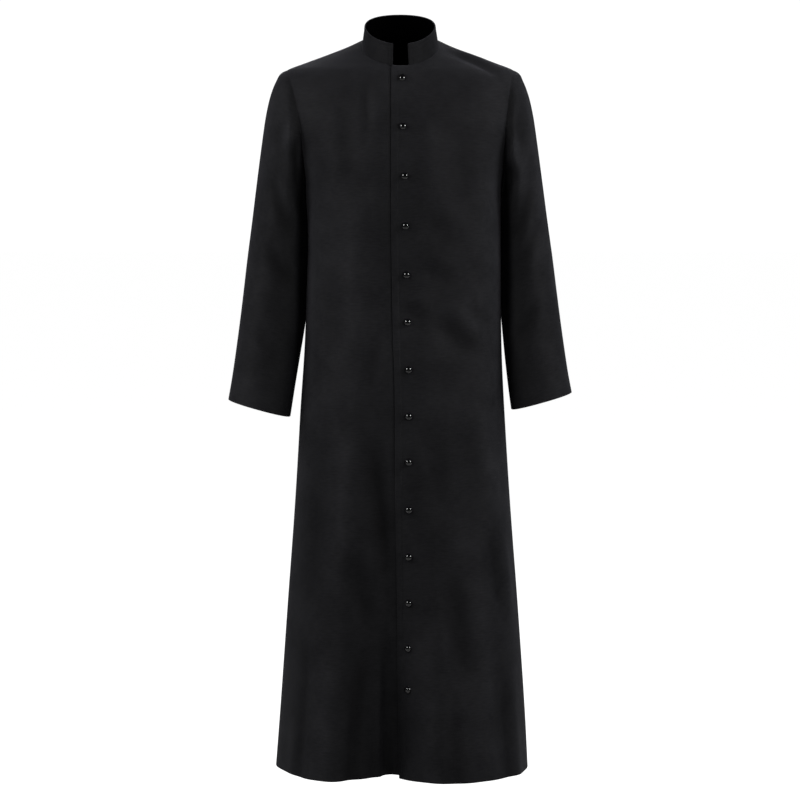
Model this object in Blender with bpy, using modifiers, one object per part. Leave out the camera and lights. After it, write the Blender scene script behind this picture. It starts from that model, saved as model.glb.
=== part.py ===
"""A long black cassock, filled out as it hangs on its wearer.

Metres, +Z up, the front faces -Y and +X is the wearer's left. The origin is
midway between the two points where the shoulders meet the neck.
"""
import math

import bmesh
import bpy
import numpy as np
from mathutils import Vector

# ---- Driving sizes -------------------------------------------------------------
CLOTH = 0.0016           # wall of the wool cloth
COLLAR_WALL = 0.0026     # the stand collar is stiffened, so its wall is thicker
SEAM_GAP = 0.0003        # clearance between neighbouring pieces
HEM_Z = -1.424
CHEST_Z = -0.360         # where the armhole rows begin, at the centre line
ARMPIT_Z = -0.284
SHOULDER_TIP_Z = -0.0605

LOWER_ROWS = 21          # hem to chest
EDGE_ROWS = 6            # chest to neckline, along the front or back line
NECK_ROWS = 4            # neckline, from that line to the shoulder seam
UPPER_ROWS = EDGE_ROWS + NECK_ROWS
HALF_COLUMNS = 8         # centre line to side seam
SLEEVE_RINGS = 18
COLLAR_ROWS = 3

# The body in horizontal sections. lean shifts a section sideways, ridge_y is where
# its widest points lie (side seam or shoulder ridge), front and back are its depths
# at the centre line, and squareness is the exponent of its outline.
BODY_COLUMNS = ("height", "half_width", "lean", "ridge_y", "front", "back", "squareness")
BODY_SECTIONS = (
    (-1.4240, 0.2483, 0.0030, 0.000, 0.1840, 0.1720, 2.35),
    (-1.2965, 0.2390, 0.0040, 0.000, 0.1700, 0.1630, 2.30),
    (-1.0970, 0.2255, 0.0050, 0.000, 0.1550, 0.1530, 2.25),
    (-0.8990, 0.2110, 0.0050, 0.000, 0.1430, 0.1440, 2.25),
    (-0.7410, 0.2008, 0.0050, 0.000, 0.1340, 0.1360, 2.25),
    (-0.5840, 0.1920, 0.0064, 0.000, 0.1240, 0.1240, 2.25),
    (-0.4700, 0.1893, 0.0075, 0.000, 0.1180, 0.1120, 2.25),
    (-0.3890, 0.1878, 0.0086, 0.000, 0.1210, 0.1150, 2.25),
    (-0.2840, 0.1915, 0.0072, 0.000, 0.1270, 0.1210, 2.30),
    (-0.2400, 0.2020, 0.0070, 0.000, 0.1265, 0.1220, 2.25),
    (-0.2000, 0.2170, 0.0065, 0.000, 0.1235, 0.1210, 2.20),
    (-0.1650, 0.2320, 0.0060, 0.000, 0.1180, 0.1190, 2.15),
    (-0.1300, 0.2430, 0.0045, 0.000, 0.1105, 0.1155, 2.05),
    (-0.1000, 0.2475, 0.0030, 0.000, 0.1015, 0.1110, 1.92),
    (-0.0750, 0.2400, 0.0012, 0.000, 0.0920, 0.1050, 1.78),
    (-0.0605, 0.2210, 0.0005, 0.000, 0.0840, 0.1000, 1.68),
    (-0.0450, 0.1820, 0.0005, 0.004, 0.0700, 0.0940, 1.58),
    (-0.0280, 0.1365, 0.0005, 0.011, 0.0500, 0.0860, 1.52),
    (-0.0135, 0.1000, 0.0005, 0.018, 0.0310, 0.0770, 1.50),
    (-0.0010, 0.0735, 0.0005, 0.026, 0.0120, 0.0680, 1.50),
    (0.0080, 0.0520, 0.0005, 0.034, -0.0080, 0.0615, 1.50),
    (0.0200, 0.0300, 0.0005, 0.040, -0.0250, 0.0520, 1.50),
)

# The largest hanging folds. angle is measured from the centre front towards the
# wearer's left, the two widths are the fold's reach on its right and left side, and
# depth is how far it stands out (or in, when negative) at the hem, in metres.
FOLD_COLUMNS = ("angle", "right_width", "left_width", "top", "depth", "growth")
FOLDS = (
    (-12.0, 29.0, 40.0, -0.70, -0.086, 1.7),
    (34.0, 20.0, 22.0, -0.80, 0.013, 1.5),
    (62.0, 17.0, 17.0, -0.50, 0.007, 1.0),
    (-72.0, 18.0, 18.0, -0.62, -0.009, 1.2),
    (-146.0, 24.0, 26.0, -0.60, -0.026, 1.5),
    (140.0, 22.0, 24.0, -0.66, -0.022, 1.5),
    (178.0, 17.0, 17.0, -0.56, 0.016, 1.3),
)

# The lapped front: the free edge of the upper front, and the row of buttons on it.
FRONT_COLUMNS = ("height", "edge_x", "button_x")
FRONT_LINE = (
    (-1.424, -0.0019, 0.0145),
    (-1.175, -0.0039, 0.0155),
    (-1.040, -0.0058, 0.0165),
    (-0.880, -0.0083, 0.0168),
    (-0.670, -0.0096, 0.0168),
    (-0.540, -0.0134, 0.0148),
    (-0.450, -0.0148, 0.0125),
    (-0.360, -0.0158, 0.0108),
    (-0.260, -0.0158, 0.0092),
    (-0.170, -0.0158, 0.0060),
    (-0.050, -0.0157, 0.0038),
)
UNDERLAP = 0.0142        # how far the lower front reaches past the buttons

# Where the buttons sit: spaced by eye, about 90 mm apart, and closer at the last.
BUTTON_HEIGHTS = (-0.0760, -0.1682, -0.2625, -0.3579, -0.4515, -0.5417, -0.6327,
                  -0.7218, -0.8096, -0.9017, -0.9929, -1.0825, -1.1708, -1.2519)

# The armhole: half distances from the middle of the body, front and back.
ARMHOLE_COLUMNS = ("height", "front_x", "back_x")
ARMHOLE = (
    (-0.2840, 0.1915, 0.1915),
    (-0.2600, 0.1925, 0.1940),
    (-0.2350, 0.1940, 0.1975),
    (-0.2000, 0.1960, 0.2015),
    (-0.1650, 0.1985, 0.2050),
    (-0.1300, 0.2035, 0.2085),
    (-0.1000, 0.2085, 0.2125),
    (-0.0750, 0.2150, 0.2170),
    (-0.0605, 0.2210, 0.2210),
)

# The sleeves, from the armhole to the cuff. Each section runs from a point on the
# outer arm to one on the inner arm; the inner points differ, as the body leans.
SLEEVE_COLUMNS = ("outer_x", "outer_z", "inner_z", "inner_right", "inner_left",
                  "front", "back", "middle_y")
SLEEVE_SECTIONS = (
    (0.2210, -0.0605, -0.2840, 0.1843, 0.1987, 0.064, 0.066, 0.000),
    (0.2300, -0.0680, -0.2920, 0.1858, 0.2002, 0.072, 0.072, 0.004),
    (0.2400, -0.0825, -0.3020, 0.1852, 0.1996, 0.080, 0.079, 0.010),
    (0.2508, -0.1090, -0.3140, 0.1836, 0.1980, 0.084, 0.083, 0.017),
    (0.2605, -0.1490, -0.3300, 0.1812, 0.1967, 0.086, 0.085, 0.024),
    (0.2685, -0.2000, -0.3520, 0.1792, 0.1957, 0.085, 0.084, 0.030),
    (0.2784, -0.2723, -0.3880, 0.1776, 0.1946, 0.081, 0.081, 0.033),
    (0.2882, -0.3500, -0.4320, 0.1776, 0.1945, 0.075, 0.076, 0.032),
    (0.2983, -0.4278, -0.4840, 0.1800, 0.1956, 0.069, 0.071, 0.026),
    (0.3075, -0.5059, -0.5450, 0.1844, 0.1980, 0.063, 0.065, 0.015),
    (0.3175, -0.5841, -0.6150, 0.1950, 0.2036, 0.058, 0.059, 0.003),
    (0.3287, -0.6625, -0.6920, 0.2080, 0.2115, 0.053, 0.053, -0.009),
    (0.3347, -0.6979, -0.7313, 0.2144, 0.2162, 0.050, 0.050, -0.016),
)
SLEEVE_SQUARENESS = 2.2
LEFT_CUFF_RISE = 0.014   # the wearer's left sleeve sits a little higher
HEAD_RINGS = 5           # rings over which the sleeve head leaves the armhole's shape

# The neckline in plan, and the stand collar's rim.
NECK_HALF_WIDTH = 0.0745
NECK_HALF_DEPTH = 0.0700
NECK_MIDDLE_Y = -0.0080
RIM_HALF_WIDTH = 0.0687
RIM_HALF_DEPTH = 0.0662
RIM_MIDDLE_Y = -0.0105
RIM_SIDE_Z = 0.0285
RIM_SLOPE = 0.43
RIM_CURVE = -1.43
COLLAR_END_RIM = (-0.0143, 0.0159)    # where the rim's two ends are, along X

# Buttons: domed, turned, with a flat back.
BUTTON_RADIUS = 0.0076
BUTTON_FOOT_RADIUS = 0.0064
BUTTON_EDGE_HEIGHT = 0.0016
BUTTON_HEIGHT = 0.0062
BUTTON_DOME_POINTS = 5
BUTTON_SIDES = 16

CLOTH_BLACK = (0.0115, 0.0115, 0.0130, 1.0)
BUTTON_BLACK = (0.0040, 0.0040, 0.0045, 1.0)
COLLECTION_NAME = "cassock"


def smooth_table(rows, columns):
    """Return a function that reads every named column of a table at one position.

    The first column is the position. Between rows each value follows a cubic whose
    slopes never overshoot, so that a section stays between its two neighbours.
    """
    table = np.array(rows, dtype=float)
    knots = table[:, 0]
    values = table[:, 1:]
    steps = np.diff(knots)[:, None]
    chords = np.diff(values, axis=0) / steps
    slopes = np.zeros_like(values)
    slopes[0] = chords[0]
    slopes[-1] = chords[-1]
    same_way = chords[:-1] * chords[1:] > 0
    before = steps[1:] + 2 * steps[:-1]
    after = 2 * steps[1:] + steps[:-1]
    safe_low = np.where(same_way, chords[:-1], 1.0)
    safe_high = np.where(same_way, chords[1:], 1.0)
    mean = (before + after) / (after / safe_low + before / safe_high)
    slopes[1:-1] = np.where(same_way, mean, 0.0)

    def read(position):
        position = min(max(position, knots[0]), knots[-1])
        row = min(int(np.searchsorted(knots, position, side="right")) - 1, len(knots) - 2)
        step = knots[row + 1] - knots[row]
        s = (position - knots[row]) / step
        result = ((1 + 2 * s) * (1 - s) ** 2 * values[row]
                  + s * (1 - s) ** 2 * step * slopes[row]
                  + s * s * (3 - 2 * s) * values[row + 1]
                  + s * s * (s - 1) * step * slopes[row + 1])
        return dict(zip(columns[1:], result))

    return read


def numbered(rows):
    """Put a position from 0 to 1 in front of each row."""
    last = len(rows) - 1
    return tuple((index / last,) + tuple(row) for index, row in enumerate(rows))


body_at = smooth_table(BODY_SECTIONS, BODY_COLUMNS)
front_line_at = smooth_table(FRONT_LINE, FRONT_COLUMNS)
armhole_at = smooth_table(ARMHOLE, ARMHOLE_COLUMNS)
sleeve_at = smooth_table(numbered(SLEEVE_SECTIONS), ("step",) + SLEEVE_COLUMNS)


# ---- The body's surface ----------------------------------------------------------
def fold_reach(angle, height):
    """How far the folds move the cloth out at this place, in metres."""
    reach = 0.0
    for row in FOLDS:
        fold = dict(zip(FOLD_COLUMNS, row))
        if height >= fold["top"]:
            continue
        away = (math.degrees(angle) - fold["angle"] + 180.0) % 360.0 - 180.0
        width = fold["left_width"] if away > 0 else fold["right_width"]
        if abs(away) >= width:
            continue
        fall = (fold["top"] - height) / (fold["top"] - HEM_Z)
        crest = math.cos(0.5 * math.pi * away / width) ** 2
        reach += fold["depth"] * fall ** fold["growth"] * crest
    return reach


def body_point(angle, height):
    """A point of the body's outer face: angle from the centre front, then height."""
    section = body_at(height)
    if abs(angle) <= 0.5 * math.pi:
        depth = section["front"] + section["ridge_y"]
    else:
        depth = section["back"] - section["ridge_y"]
    power = section["squareness"]
    across = abs(math.sin(angle)) / section["half_width"]
    along = abs(math.cos(angle)) / depth
    radius = (across ** power + along ** power) ** (-1 / power)
    radius += fold_reach(angle, height)
    return Vector((section["lean"] + radius * math.sin(angle),
                   section["ridge_y"] - radius * math.cos(angle),
                   height))


def body_normal(angle, height):
    """The outward direction of the body's face."""
    turn = 1e-3
    rise = 1e-4
    around = body_point(angle + turn, height) - body_point(angle - turn, height)
    up = body_point(angle, height + rise) - body_point(angle, height - rise)
    return around.cross(up).normalized()


def halve(low, high, is_high):
    """Halve the range until it closes on the place where is_high turns true."""
    for _ in range(46):
        middle = 0.5 * (low + high)
        if is_high(middle):
            high = middle
        else:
            low = middle
    return 0.5 * (low + high)


def angle_at_x(x, height):
    """The angle at which the front of the body passes x at this height."""
    reach = math.radians(60)
    return halve(-reach, reach, lambda angle: body_point(angle, height).x > x)


def side_angle(side, x_half, height, at_back):
    """The angle at which a section passes a half distance from its middle."""
    section = body_at(height)
    power = section["squareness"]
    share = min(x_half / section["half_width"], 1.0)
    depth = section["back"] - section["ridge_y"] if at_back else (
        section["front"] + section["ridge_y"])
    along = depth * (1 - share ** power) ** (1 / power)
    return side * math.atan2(x_half, -along if at_back else along)


def neckline_place(turn):
    """Angle and height of the neckline, turn being the direction in plan."""
    x = NECK_HALF_WIDTH * math.sin(turn)
    y = NECK_MIDDLE_Y - NECK_HALF_DEPTH * math.cos(turn)

    def is_outside(height):
        section = body_at(height)
        ridge = section["ridge_y"]
        depth = section["front"] + ridge if y < ridge else section["back"] - ridge
        power = section["squareness"]
        return (abs(x) / section["half_width"]) ** power + (
            abs(y - ridge) / depth) ** power > 1

    height = halve(-0.090, 0.019, is_outside)
    ridge = body_at(height)["ridge_y"]
    return math.atan2(x, ridge - y), height


def neck_point_turn():
    """The direction in plan in which the shoulder ridge meets the neckline."""
    def is_behind_ridge(turn):
        return abs(neckline_place(turn)[0]) > 0.5 * math.pi

    return halve(math.radians(80), math.radians(150), is_behind_ridge)


def armhole_place(side, fraction, at_back):
    """Angle and height on the armhole: fraction 0 is the armpit, 1 the shoulder tip."""
    if fraction <= 0:
        return side * 0.5 * math.pi, ARMPIT_Z
    if fraction >= 1:
        return side * 0.5 * math.pi, SHOULDER_TIP_Z
    height = ARMPIT_Z + (SHOULDER_TIP_Z - ARMPIT_Z) * 0.5 * (1 - math.cos(math.pi * fraction))
    x_half = armhole_at(height)["back_x" if at_back else "front_x"]
    return side_angle(side, x_half, height, at_back), height


def chest_height(angle):
    """The row where the armhole rows begin: it climbs to the armpit at the side."""
    to_side = 1 - abs(abs(angle) / (0.5 * math.pi) - 1)
    return CHEST_Z + (ARMPIT_Z - CHEST_Z) * to_side ** 3


# ---- Panels as grids of places (angle, height) -------------------------------------
def front_line_place(offset_of, share):
    """A place on a line of the front, share 0 at the hem and 1 at the chest row."""
    height = HEM_Z + share * (CHEST_Z - HEM_Z)
    return angle_at_x(offset_of(front_line_at(height)), height), height


def line_to_neck(offset_of, rows):
    """Places on a front line from the chest row up to the neckline."""
    foot = offset_of(front_line_at(CHEST_Z))
    top_x = offset_of(front_line_at(-0.050))
    turn = math.asin(top_x / NECK_HALF_WIDTH)
    top_angle, top_height = neckline_place(turn)
    places = []
    for row in range(rows):
        height = CHEST_Z + (top_height - CHEST_Z) * row / rows
        x = offset_of(front_line_at(height)) if row else foot
        places.append((angle_at_x(x, height), height))
    places.append((top_angle, top_height))
    return places, turn


def lap_lines():
    """The lines of the lap: free edge, between, buttons, edge of the lower front."""
    return (lambda line: line["edge_x"],
            lambda line: 0.5 * (line["edge_x"] + line["button_x"]),
            lambda line: line["button_x"],
            lambda line: line["button_x"] + UNDERLAP)


def lap_grids(lines):
    """The lower and the upper grid of the strip between the given lines."""
    lower = [[front_line_place(line, row / LOWER_ROWS) for line in lines]
             for row in range(LOWER_ROWS + 1)]
    columns = [line_to_neck(line, EDGE_ROWS)[0] for line in lines]
    upper = [[column[row] for column in columns] for row in range(EDGE_ROWS + 1)]
    return lower, upper


def half_grids(side, at_back, start_lower, start_upper, start_turn):
    """The grids of half a panel, from its inner line out to the side and armhole.

    start_lower and start_upper are the inner line's places below and above the
    chest row, and start_turn is where that line reaches the neckline.
    """
    seam = side * 0.5 * math.pi
    lower = []
    for row in range(LOWER_ROWS + 1):
        share = row / LOWER_ROWS
        start = start_lower[row][0]
        line = []
        for column in range(HALF_COLUMNS + 1):
            angle = start + (seam - start) * column / HALF_COLUMNS
            line.append((angle, HEM_Z + share * (chest_height(angle) - HEM_Z)))
        lower.append(line)

    neck_turn = side * neck_point_turn()
    inner = list(start_upper)
    for row in range(1, NECK_ROWS):
        inner.append(neckline_place(start_turn + (neck_turn - start_turn) * row / NECK_ROWS))
    neck_height = neckline_place(neck_turn)[1]
    inner.append((seam, neck_height))
    outer = [armhole_place(side, row / UPPER_ROWS, at_back) for row in range(UPPER_ROWS + 1)]
    foot = lower[-1]
    inner[0] = foot[0]
    corners = [np.array(place) for place in (foot[0], foot[-1], inner[-1], outer[-1])]
    upper = []
    for row in range(UPPER_ROWS + 1):
        v = row / UPPER_ROWS
        line = []
        for column in range(HALF_COLUMNS + 1):
            u = column / HALF_COLUMNS
            top = corners[2] + (corners[3] - corners[2]) * u
            place = ((1 - v) * np.array(foot[column]) + v * top
                     + (1 - u) * np.array(inner[row]) + u * np.array(outer[row])
                     - (1 - u) * (1 - v) * corners[0] - u * (1 - v) * corners[1]
                     - (1 - u) * v * corners[2] - u * v * corners[3])
            line.append((place[0], place[1]))
        upper.append(line)
    return lower, upper


def cloth_points(grid, at_back, lift=0.0):
    """Outer and inner points of a grid of places, parted along the seams.

    lift moves both faces out along the body's normal. It is a number, or a
    function of the column.
    """
    outer = []
    inner = []
    for line in grid:
        outer_line = []
        inner_line = []
        for column, (angle, height) in enumerate(line):
            normal = body_normal(angle, height)
            rise = lift(column) if callable(lift) else lift
            point = body_point(angle, height) + normal * rise
            if abs(abs(angle) - 0.5 * math.pi) < 1e-6:
                point.y += 0.5 * SEAM_GAP * (1 if at_back else -1)
                normal.y = 0.0
                normal.normalize()
            outer_line.append(point)
            inner_line.append(point - normal * CLOTH)
        outer.append(outer_line)
        inner.append(inner_line)
    return outer, inner


# ---- Building the meshes ---------------------------------------------------------
def cloth_material(name, colour, roughness):
    """A plain Principled material."""
    material = bpy.data.materials.new(name)
    material.use_nodes = True
    shader = material.node_tree.nodes["Principled BSDF"]
    shader.inputs["Base Color"].default_value = colour
    shader.inputs["Roughness"].default_value = roughness
    shader.inputs["Metallic"].default_value = 0.0
    return material


def add_object(name, mesh, material):
    """Put a mesh in the cassock's collection under its node's name."""
    mesh.materials.append(material)
    obj = bpy.data.objects.new(name, mesh)
    bpy.data.collections[COLLECTION_NAME].objects.link(obj)
    return obj


def cloth_piece(name, grids, wraps=False):
    """Loft a wall of cloth through grids of outer and inner points.

    The outer faces are laid first, grid by grid, and share the points where two
    grids meet. The whole face is then extruded inwards, each point by its own step.
    """
    bm = bmesh.new()
    step = bm.verts.layers.float_vector.new("step_in")
    for outer, inner in grids:
        verts = []
        for outer_line, inner_line in zip(outer, inner):
            line = []
            for point, under in zip(outer_line, inner_line):
                vert = bm.verts.new(point)
                vert[step] = Vector(under) - Vector(point)
                line.append(vert)
            verts.append(line)
        count = len(verts[0])
        for low, high in zip(verts[:-1], verts[1:]):
            for column in range(count if wraps else count - 1):
                after = (column + 1) % count
                bm.faces.new((low[column], low[after], high[after]))
                bm.faces.new((low[column], high[after], high[column]))
    bmesh.ops.remove_doubles(bm, verts=bm.verts, dist=2e-5)
    extruded = bmesh.ops.extrude_face_region(bm, geom=bm.faces[:], use_keep_orig=True)
    for item in extruded["geom"]:
        if isinstance(item, bmesh.types.BMVert):
            item.co += item[step]
    bmesh.ops.recalc_face_normals(bm, faces=bm.faces)
    mesh = bpy.data.meshes.new(name)
    bm.to_mesh(mesh)
    bm.free()
    mesh.shade_smooth()
    mesh.set_sharp_from_angle(angle=math.radians(50))
    return add_object(name, mesh, cloth_material(name, CLOTH_BLACK, 0.75))


def wall_normals(points, wraps):
    """Outward directions of a grid of points, rows running towards the free end."""
    points = np.array(points)
    along = np.gradient(points, axis=0)
    if wraps:
        around = np.roll(points, -1, axis=1) - np.roll(points, 1, axis=1)
    else:
        around = np.gradient(points, axis=1)
    normals = np.cross(around, along)
    return normals / np.linalg.norm(normals, axis=2, keepdims=True)


def front_panel(name, side):
    """Half of the front. The wearer's left laps over the right, whose lap is set in."""
    is_upper = side > 0
    lines = lap_lines()
    strip_lower, strip_upper = lap_grids(lines)
    start = lines[-1] if is_upper else lines[0]
    column = -1 if is_upper else 0
    start_lower = [row[column] for row in strip_lower]
    start_upper, turn = line_to_neck(start, EDGE_ROWS)
    lower, upper = half_grids(side, False, start_lower, start_upper, turn)
    strip_lift = 0.0 if is_upper else -(CLOTH + SEAM_GAP)

    def lift(column_index):
        return strip_lift if column_index == 0 else 0.0

    grids = [cloth_points(strip_lower, False, strip_lift),
             cloth_points(strip_upper, False, strip_lift),
             cloth_points(lower, False, lift),
             cloth_points(upper, False, lift)]
    return cloth_piece(name, grids)


def back_panel(name):
    """The whole back, in two mirrored halves that share the centre line."""
    grids = []
    _, top_height = neckline_place(math.pi)
    for side in (-1, 1):
        centre = side * math.pi
        start_lower = [(centre, None)] * (LOWER_ROWS + 1)
        start_upper = [(centre, CHEST_Z + (top_height - CHEST_Z) * row / EDGE_ROWS)
                       for row in range(EDGE_ROWS + 1)]
        lower, upper = half_grids(side, True, start_lower, start_upper, centre)
        grids.append(cloth_points(lower, True))
        grids.append(cloth_points(upper, True))
    return cloth_piece(name, grids)


def armhole_ring(side):
    """The armhole's points: tip, down the front, armpit, up the back."""
    ring = []
    for step in range(2 * UPPER_ROWS):
        at_back = step > UPPER_ROWS
        fraction = abs(step - UPPER_ROWS) / UPPER_ROWS
        angle, height = armhole_place(side, fraction, at_back)
        ring.append(body_point(angle, height) + Vector((side * 1.2 * SEAM_GAP, 0, 0)))
    return np.array(ring)


def sleeve_ring(side, share):
    """A section of the sleeve, share 0 at the armhole and 1 at the cuff."""
    section = sleeve_at(share)
    rise = LEFT_CUFF_RISE * max(0.0, 2 * share - 1) if side > 0 else 0.0
    outer = np.array((side * section["outer_x"], 0.0, section["outer_z"] + rise))
    inner_x = section["inner_left"] if side > 0 else section["inner_right"]
    inner = np.array((side * inner_x, 0.0, section["inner_z"] + rise))
    ring = []
    for step in range(2 * UPPER_ROWS):
        angle = math.pi * step / UPPER_ROWS
        across = math.copysign(abs(math.cos(angle)) ** (2 / SLEEVE_SQUARENESS), math.cos(angle))
        along = abs(math.sin(angle)) ** (2 / SLEEVE_SQUARENESS)
        depth = -section["front"] if step <= UPPER_ROWS else section["back"]
        point = 0.5 * (outer + inner) + 0.5 * across * (outer - inner)
        point[1] = section["middle_y"] + depth * along
        ring.append(point)
    return np.array(ring)


def sleeve(name, side):
    """A sleeve: a tube from the armhole to the cuff."""
    armhole = armhole_ring(side)
    rings = []
    for ring in range(SLEEVE_RINGS + 1):
        free = min(ring / HEAD_RINGS, 1.0)
        free = free * free * (3 - 2 * free)
        from_armhole = armhole - sleeve_ring(side, 0.0)
        rings.append(sleeve_ring(side, ring / SLEEVE_RINGS) + (1 - free) * from_armhole)
    points = np.array(rings)
    normals = wall_normals(points, wraps=True) * side
    for step in range(2 * UPPER_ROWS):
        at_back = step > UPPER_ROWS
        fraction = abs(step - UPPER_ROWS) / UPPER_ROWS
        body = body_normal(*armhole_place(side, fraction, at_back))
        first = normals[0, step]
        first[0] = side * min(side * first[0], side * body.x)
        normals[0, step] = first / np.linalg.norm(first)
    inner = points - normals * CLOTH
    return cloth_piece(name, [(points.tolist(), inner.tolist())], wraps=True)


def collar_turns():
    """Directions in plan of the fronts' and the back's own neckline points.

    They run from the collar's left end round the back to its right end.
    """
    lines = lap_lines()
    neck = neck_point_turn()
    ends = [line_to_neck(line, EDGE_ROWS)[1] for line in (lines[-1], lines[0])]
    stations = (ends[0], neck, math.pi, 2 * math.pi - neck, 2 * math.pi + ends[1])
    turns = [ends[0]]
    for first, last in zip(stations[:-1], stations[1:]):
        turns += [first + (last - first) * row / NECK_ROWS for row in range(1, NECK_ROWS + 1)]
    return turns


def collar(name):
    """The stand collar: a band on the neckline, open at the front.

    Its foot follows the panels' own neckline points, with one more point halfway
    along each step so that the rim runs round.
    """
    turns = collar_turns()
    rim_ends = [math.asin(x / RIM_HALF_WIDTH) for x in COLLAR_END_RIM]
    feet = [body_point(*neckline_place(math.remainder(turn, 2 * math.pi))) for turn in turns]
    rim_start = rim_ends[1]
    rim_sweep = rim_ends[0] + 2 * math.pi - rim_start
    lines = []
    for column in range(2 * len(turns) - 1):
        low = column // 2
        high = (column + 1) // 2
        turn = 0.5 * (turns[low] + turns[high])
        foot = 0.5 * (feet[low] + feet[high]) + Vector((0, 0, SEAM_GAP))
        rim_turn = rim_start + rim_sweep * (turn - turns[0]) / (turns[-1] - turns[0])
        rim_y = RIM_MIDDLE_Y - RIM_HALF_DEPTH * math.cos(rim_turn)
        rim = Vector((RIM_HALF_WIDTH * math.sin(rim_turn), rim_y,
                      RIM_SIDE_Z + RIM_SLOPE * rim_y + RIM_CURVE * rim_y ** 2))
        lines.append([foot.lerp(rim, row / COLLAR_ROWS) for row in range(COLLAR_ROWS + 1)])
    points = np.array(lines).transpose(1, 0, 2)
    inner = points - wall_normals(points, wraps=False) * COLLAR_WALL
    return cloth_piece(name, [(points.tolist(), inner.tolist())])


def button_mesh():
    """A turned dome with a flat back: its profile runs down the outer side."""
    bm = bmesh.new()
    profile = []
    for step in range(BUTTON_DOME_POINTS + 1):
        angle = 0.5 * math.pi * step / BUTTON_DOME_POINTS
        height = BUTTON_EDGE_HEIGHT + (BUTTON_HEIGHT - BUTTON_EDGE_HEIGHT) * math.cos(angle)
        profile.append((BUTTON_RADIUS * math.sin(angle), height))
    profile.append((BUTTON_FOOT_RADIUS, 0.0))
    profile.append((0.0, 0.0))
    verts = [bm.verts.new((radius, 0.0, height)) for radius, height in profile]
    for first, second in zip(verts[:-1], verts[1:]):
        bm.edges.new((first, second))
    mesh = bpy.data.meshes.new("button")
    bm.to_mesh(mesh)
    bm.free()
    return mesh


def buttons():
    """The row of buttons, each square to the cloth and a hair clear of it."""
    mesh = button_mesh()
    mesh.materials.append(cloth_material("button", BUTTON_BLACK, 0.12))
    for index, height in enumerate(BUTTON_HEIGHTS):
        angle = angle_at_x(front_line_at(height)["button_x"], height)
        normal = body_normal(angle, height)
        obj = bpy.data.objects.new(f"button_{index + 1:02d}", mesh)
        obj.location = body_point(angle, height) + normal * SEAM_GAP
        obj.rotation_euler = normal.to_track_quat("Z", "Y").to_euler()
        turned = obj.modifiers.new("turned", "SCREW")
        turned.steps = BUTTON_SIDES
        turned.render_steps = BUTTON_SIDES
        turned.use_merge_vertices = True
        turned.merge_threshold = 1e-5
        turned.use_smooth_shade = True
        bpy.data.collections[COLLECTION_NAME].objects.link(obj)


def build():
    """Clear the scene and make every piece of the cassock."""
    for obj in list(bpy.data.objects):
        bpy.data.objects.remove(obj, do_unlink=True)
    collection = bpy.data.collections.new(COLLECTION_NAME)
    bpy.context.scene.collection.children.link(collection)
    front_panel("front_left", 1)
    front_panel("front_right", -1)
    back_panel("back")
    sleeve("sleeve_left", 1)
    sleeve("sleeve_right", -1)
    collar("collar")
    buttons()


build()
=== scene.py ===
"""The looks of a long black cassock, filled out as it hangs on its wearer.

Metres, +Z up, the front faces -Y and +X is the wearer's left.
"""
import math

import bmesh
import bpy
import numpy as np
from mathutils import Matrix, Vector


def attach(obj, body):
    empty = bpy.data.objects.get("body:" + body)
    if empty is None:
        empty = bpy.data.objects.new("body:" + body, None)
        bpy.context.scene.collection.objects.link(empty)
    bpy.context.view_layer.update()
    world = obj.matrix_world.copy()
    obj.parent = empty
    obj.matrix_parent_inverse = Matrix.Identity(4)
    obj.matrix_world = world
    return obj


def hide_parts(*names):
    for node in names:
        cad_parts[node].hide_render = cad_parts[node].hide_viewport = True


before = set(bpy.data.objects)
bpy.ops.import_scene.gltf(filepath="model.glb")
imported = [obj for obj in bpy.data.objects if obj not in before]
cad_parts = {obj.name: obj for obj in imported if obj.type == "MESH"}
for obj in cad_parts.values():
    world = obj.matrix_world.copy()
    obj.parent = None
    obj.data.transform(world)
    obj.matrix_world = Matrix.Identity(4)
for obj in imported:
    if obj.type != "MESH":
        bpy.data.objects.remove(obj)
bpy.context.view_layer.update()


# ==== The body's form =============================================================
# The cloth hangs from the shoulders in one smooth tube, cut wider towards the hem.
# Both fronts and the back are cut to this form; its large folds hang below the hips.
HEM_Z = -1.424
CHEST_Z = -0.360         # where the armhole rows begin, at the centre line
ARMPIT_Z = -0.284
SHOULDER_TIP_Z = -0.0605

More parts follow.
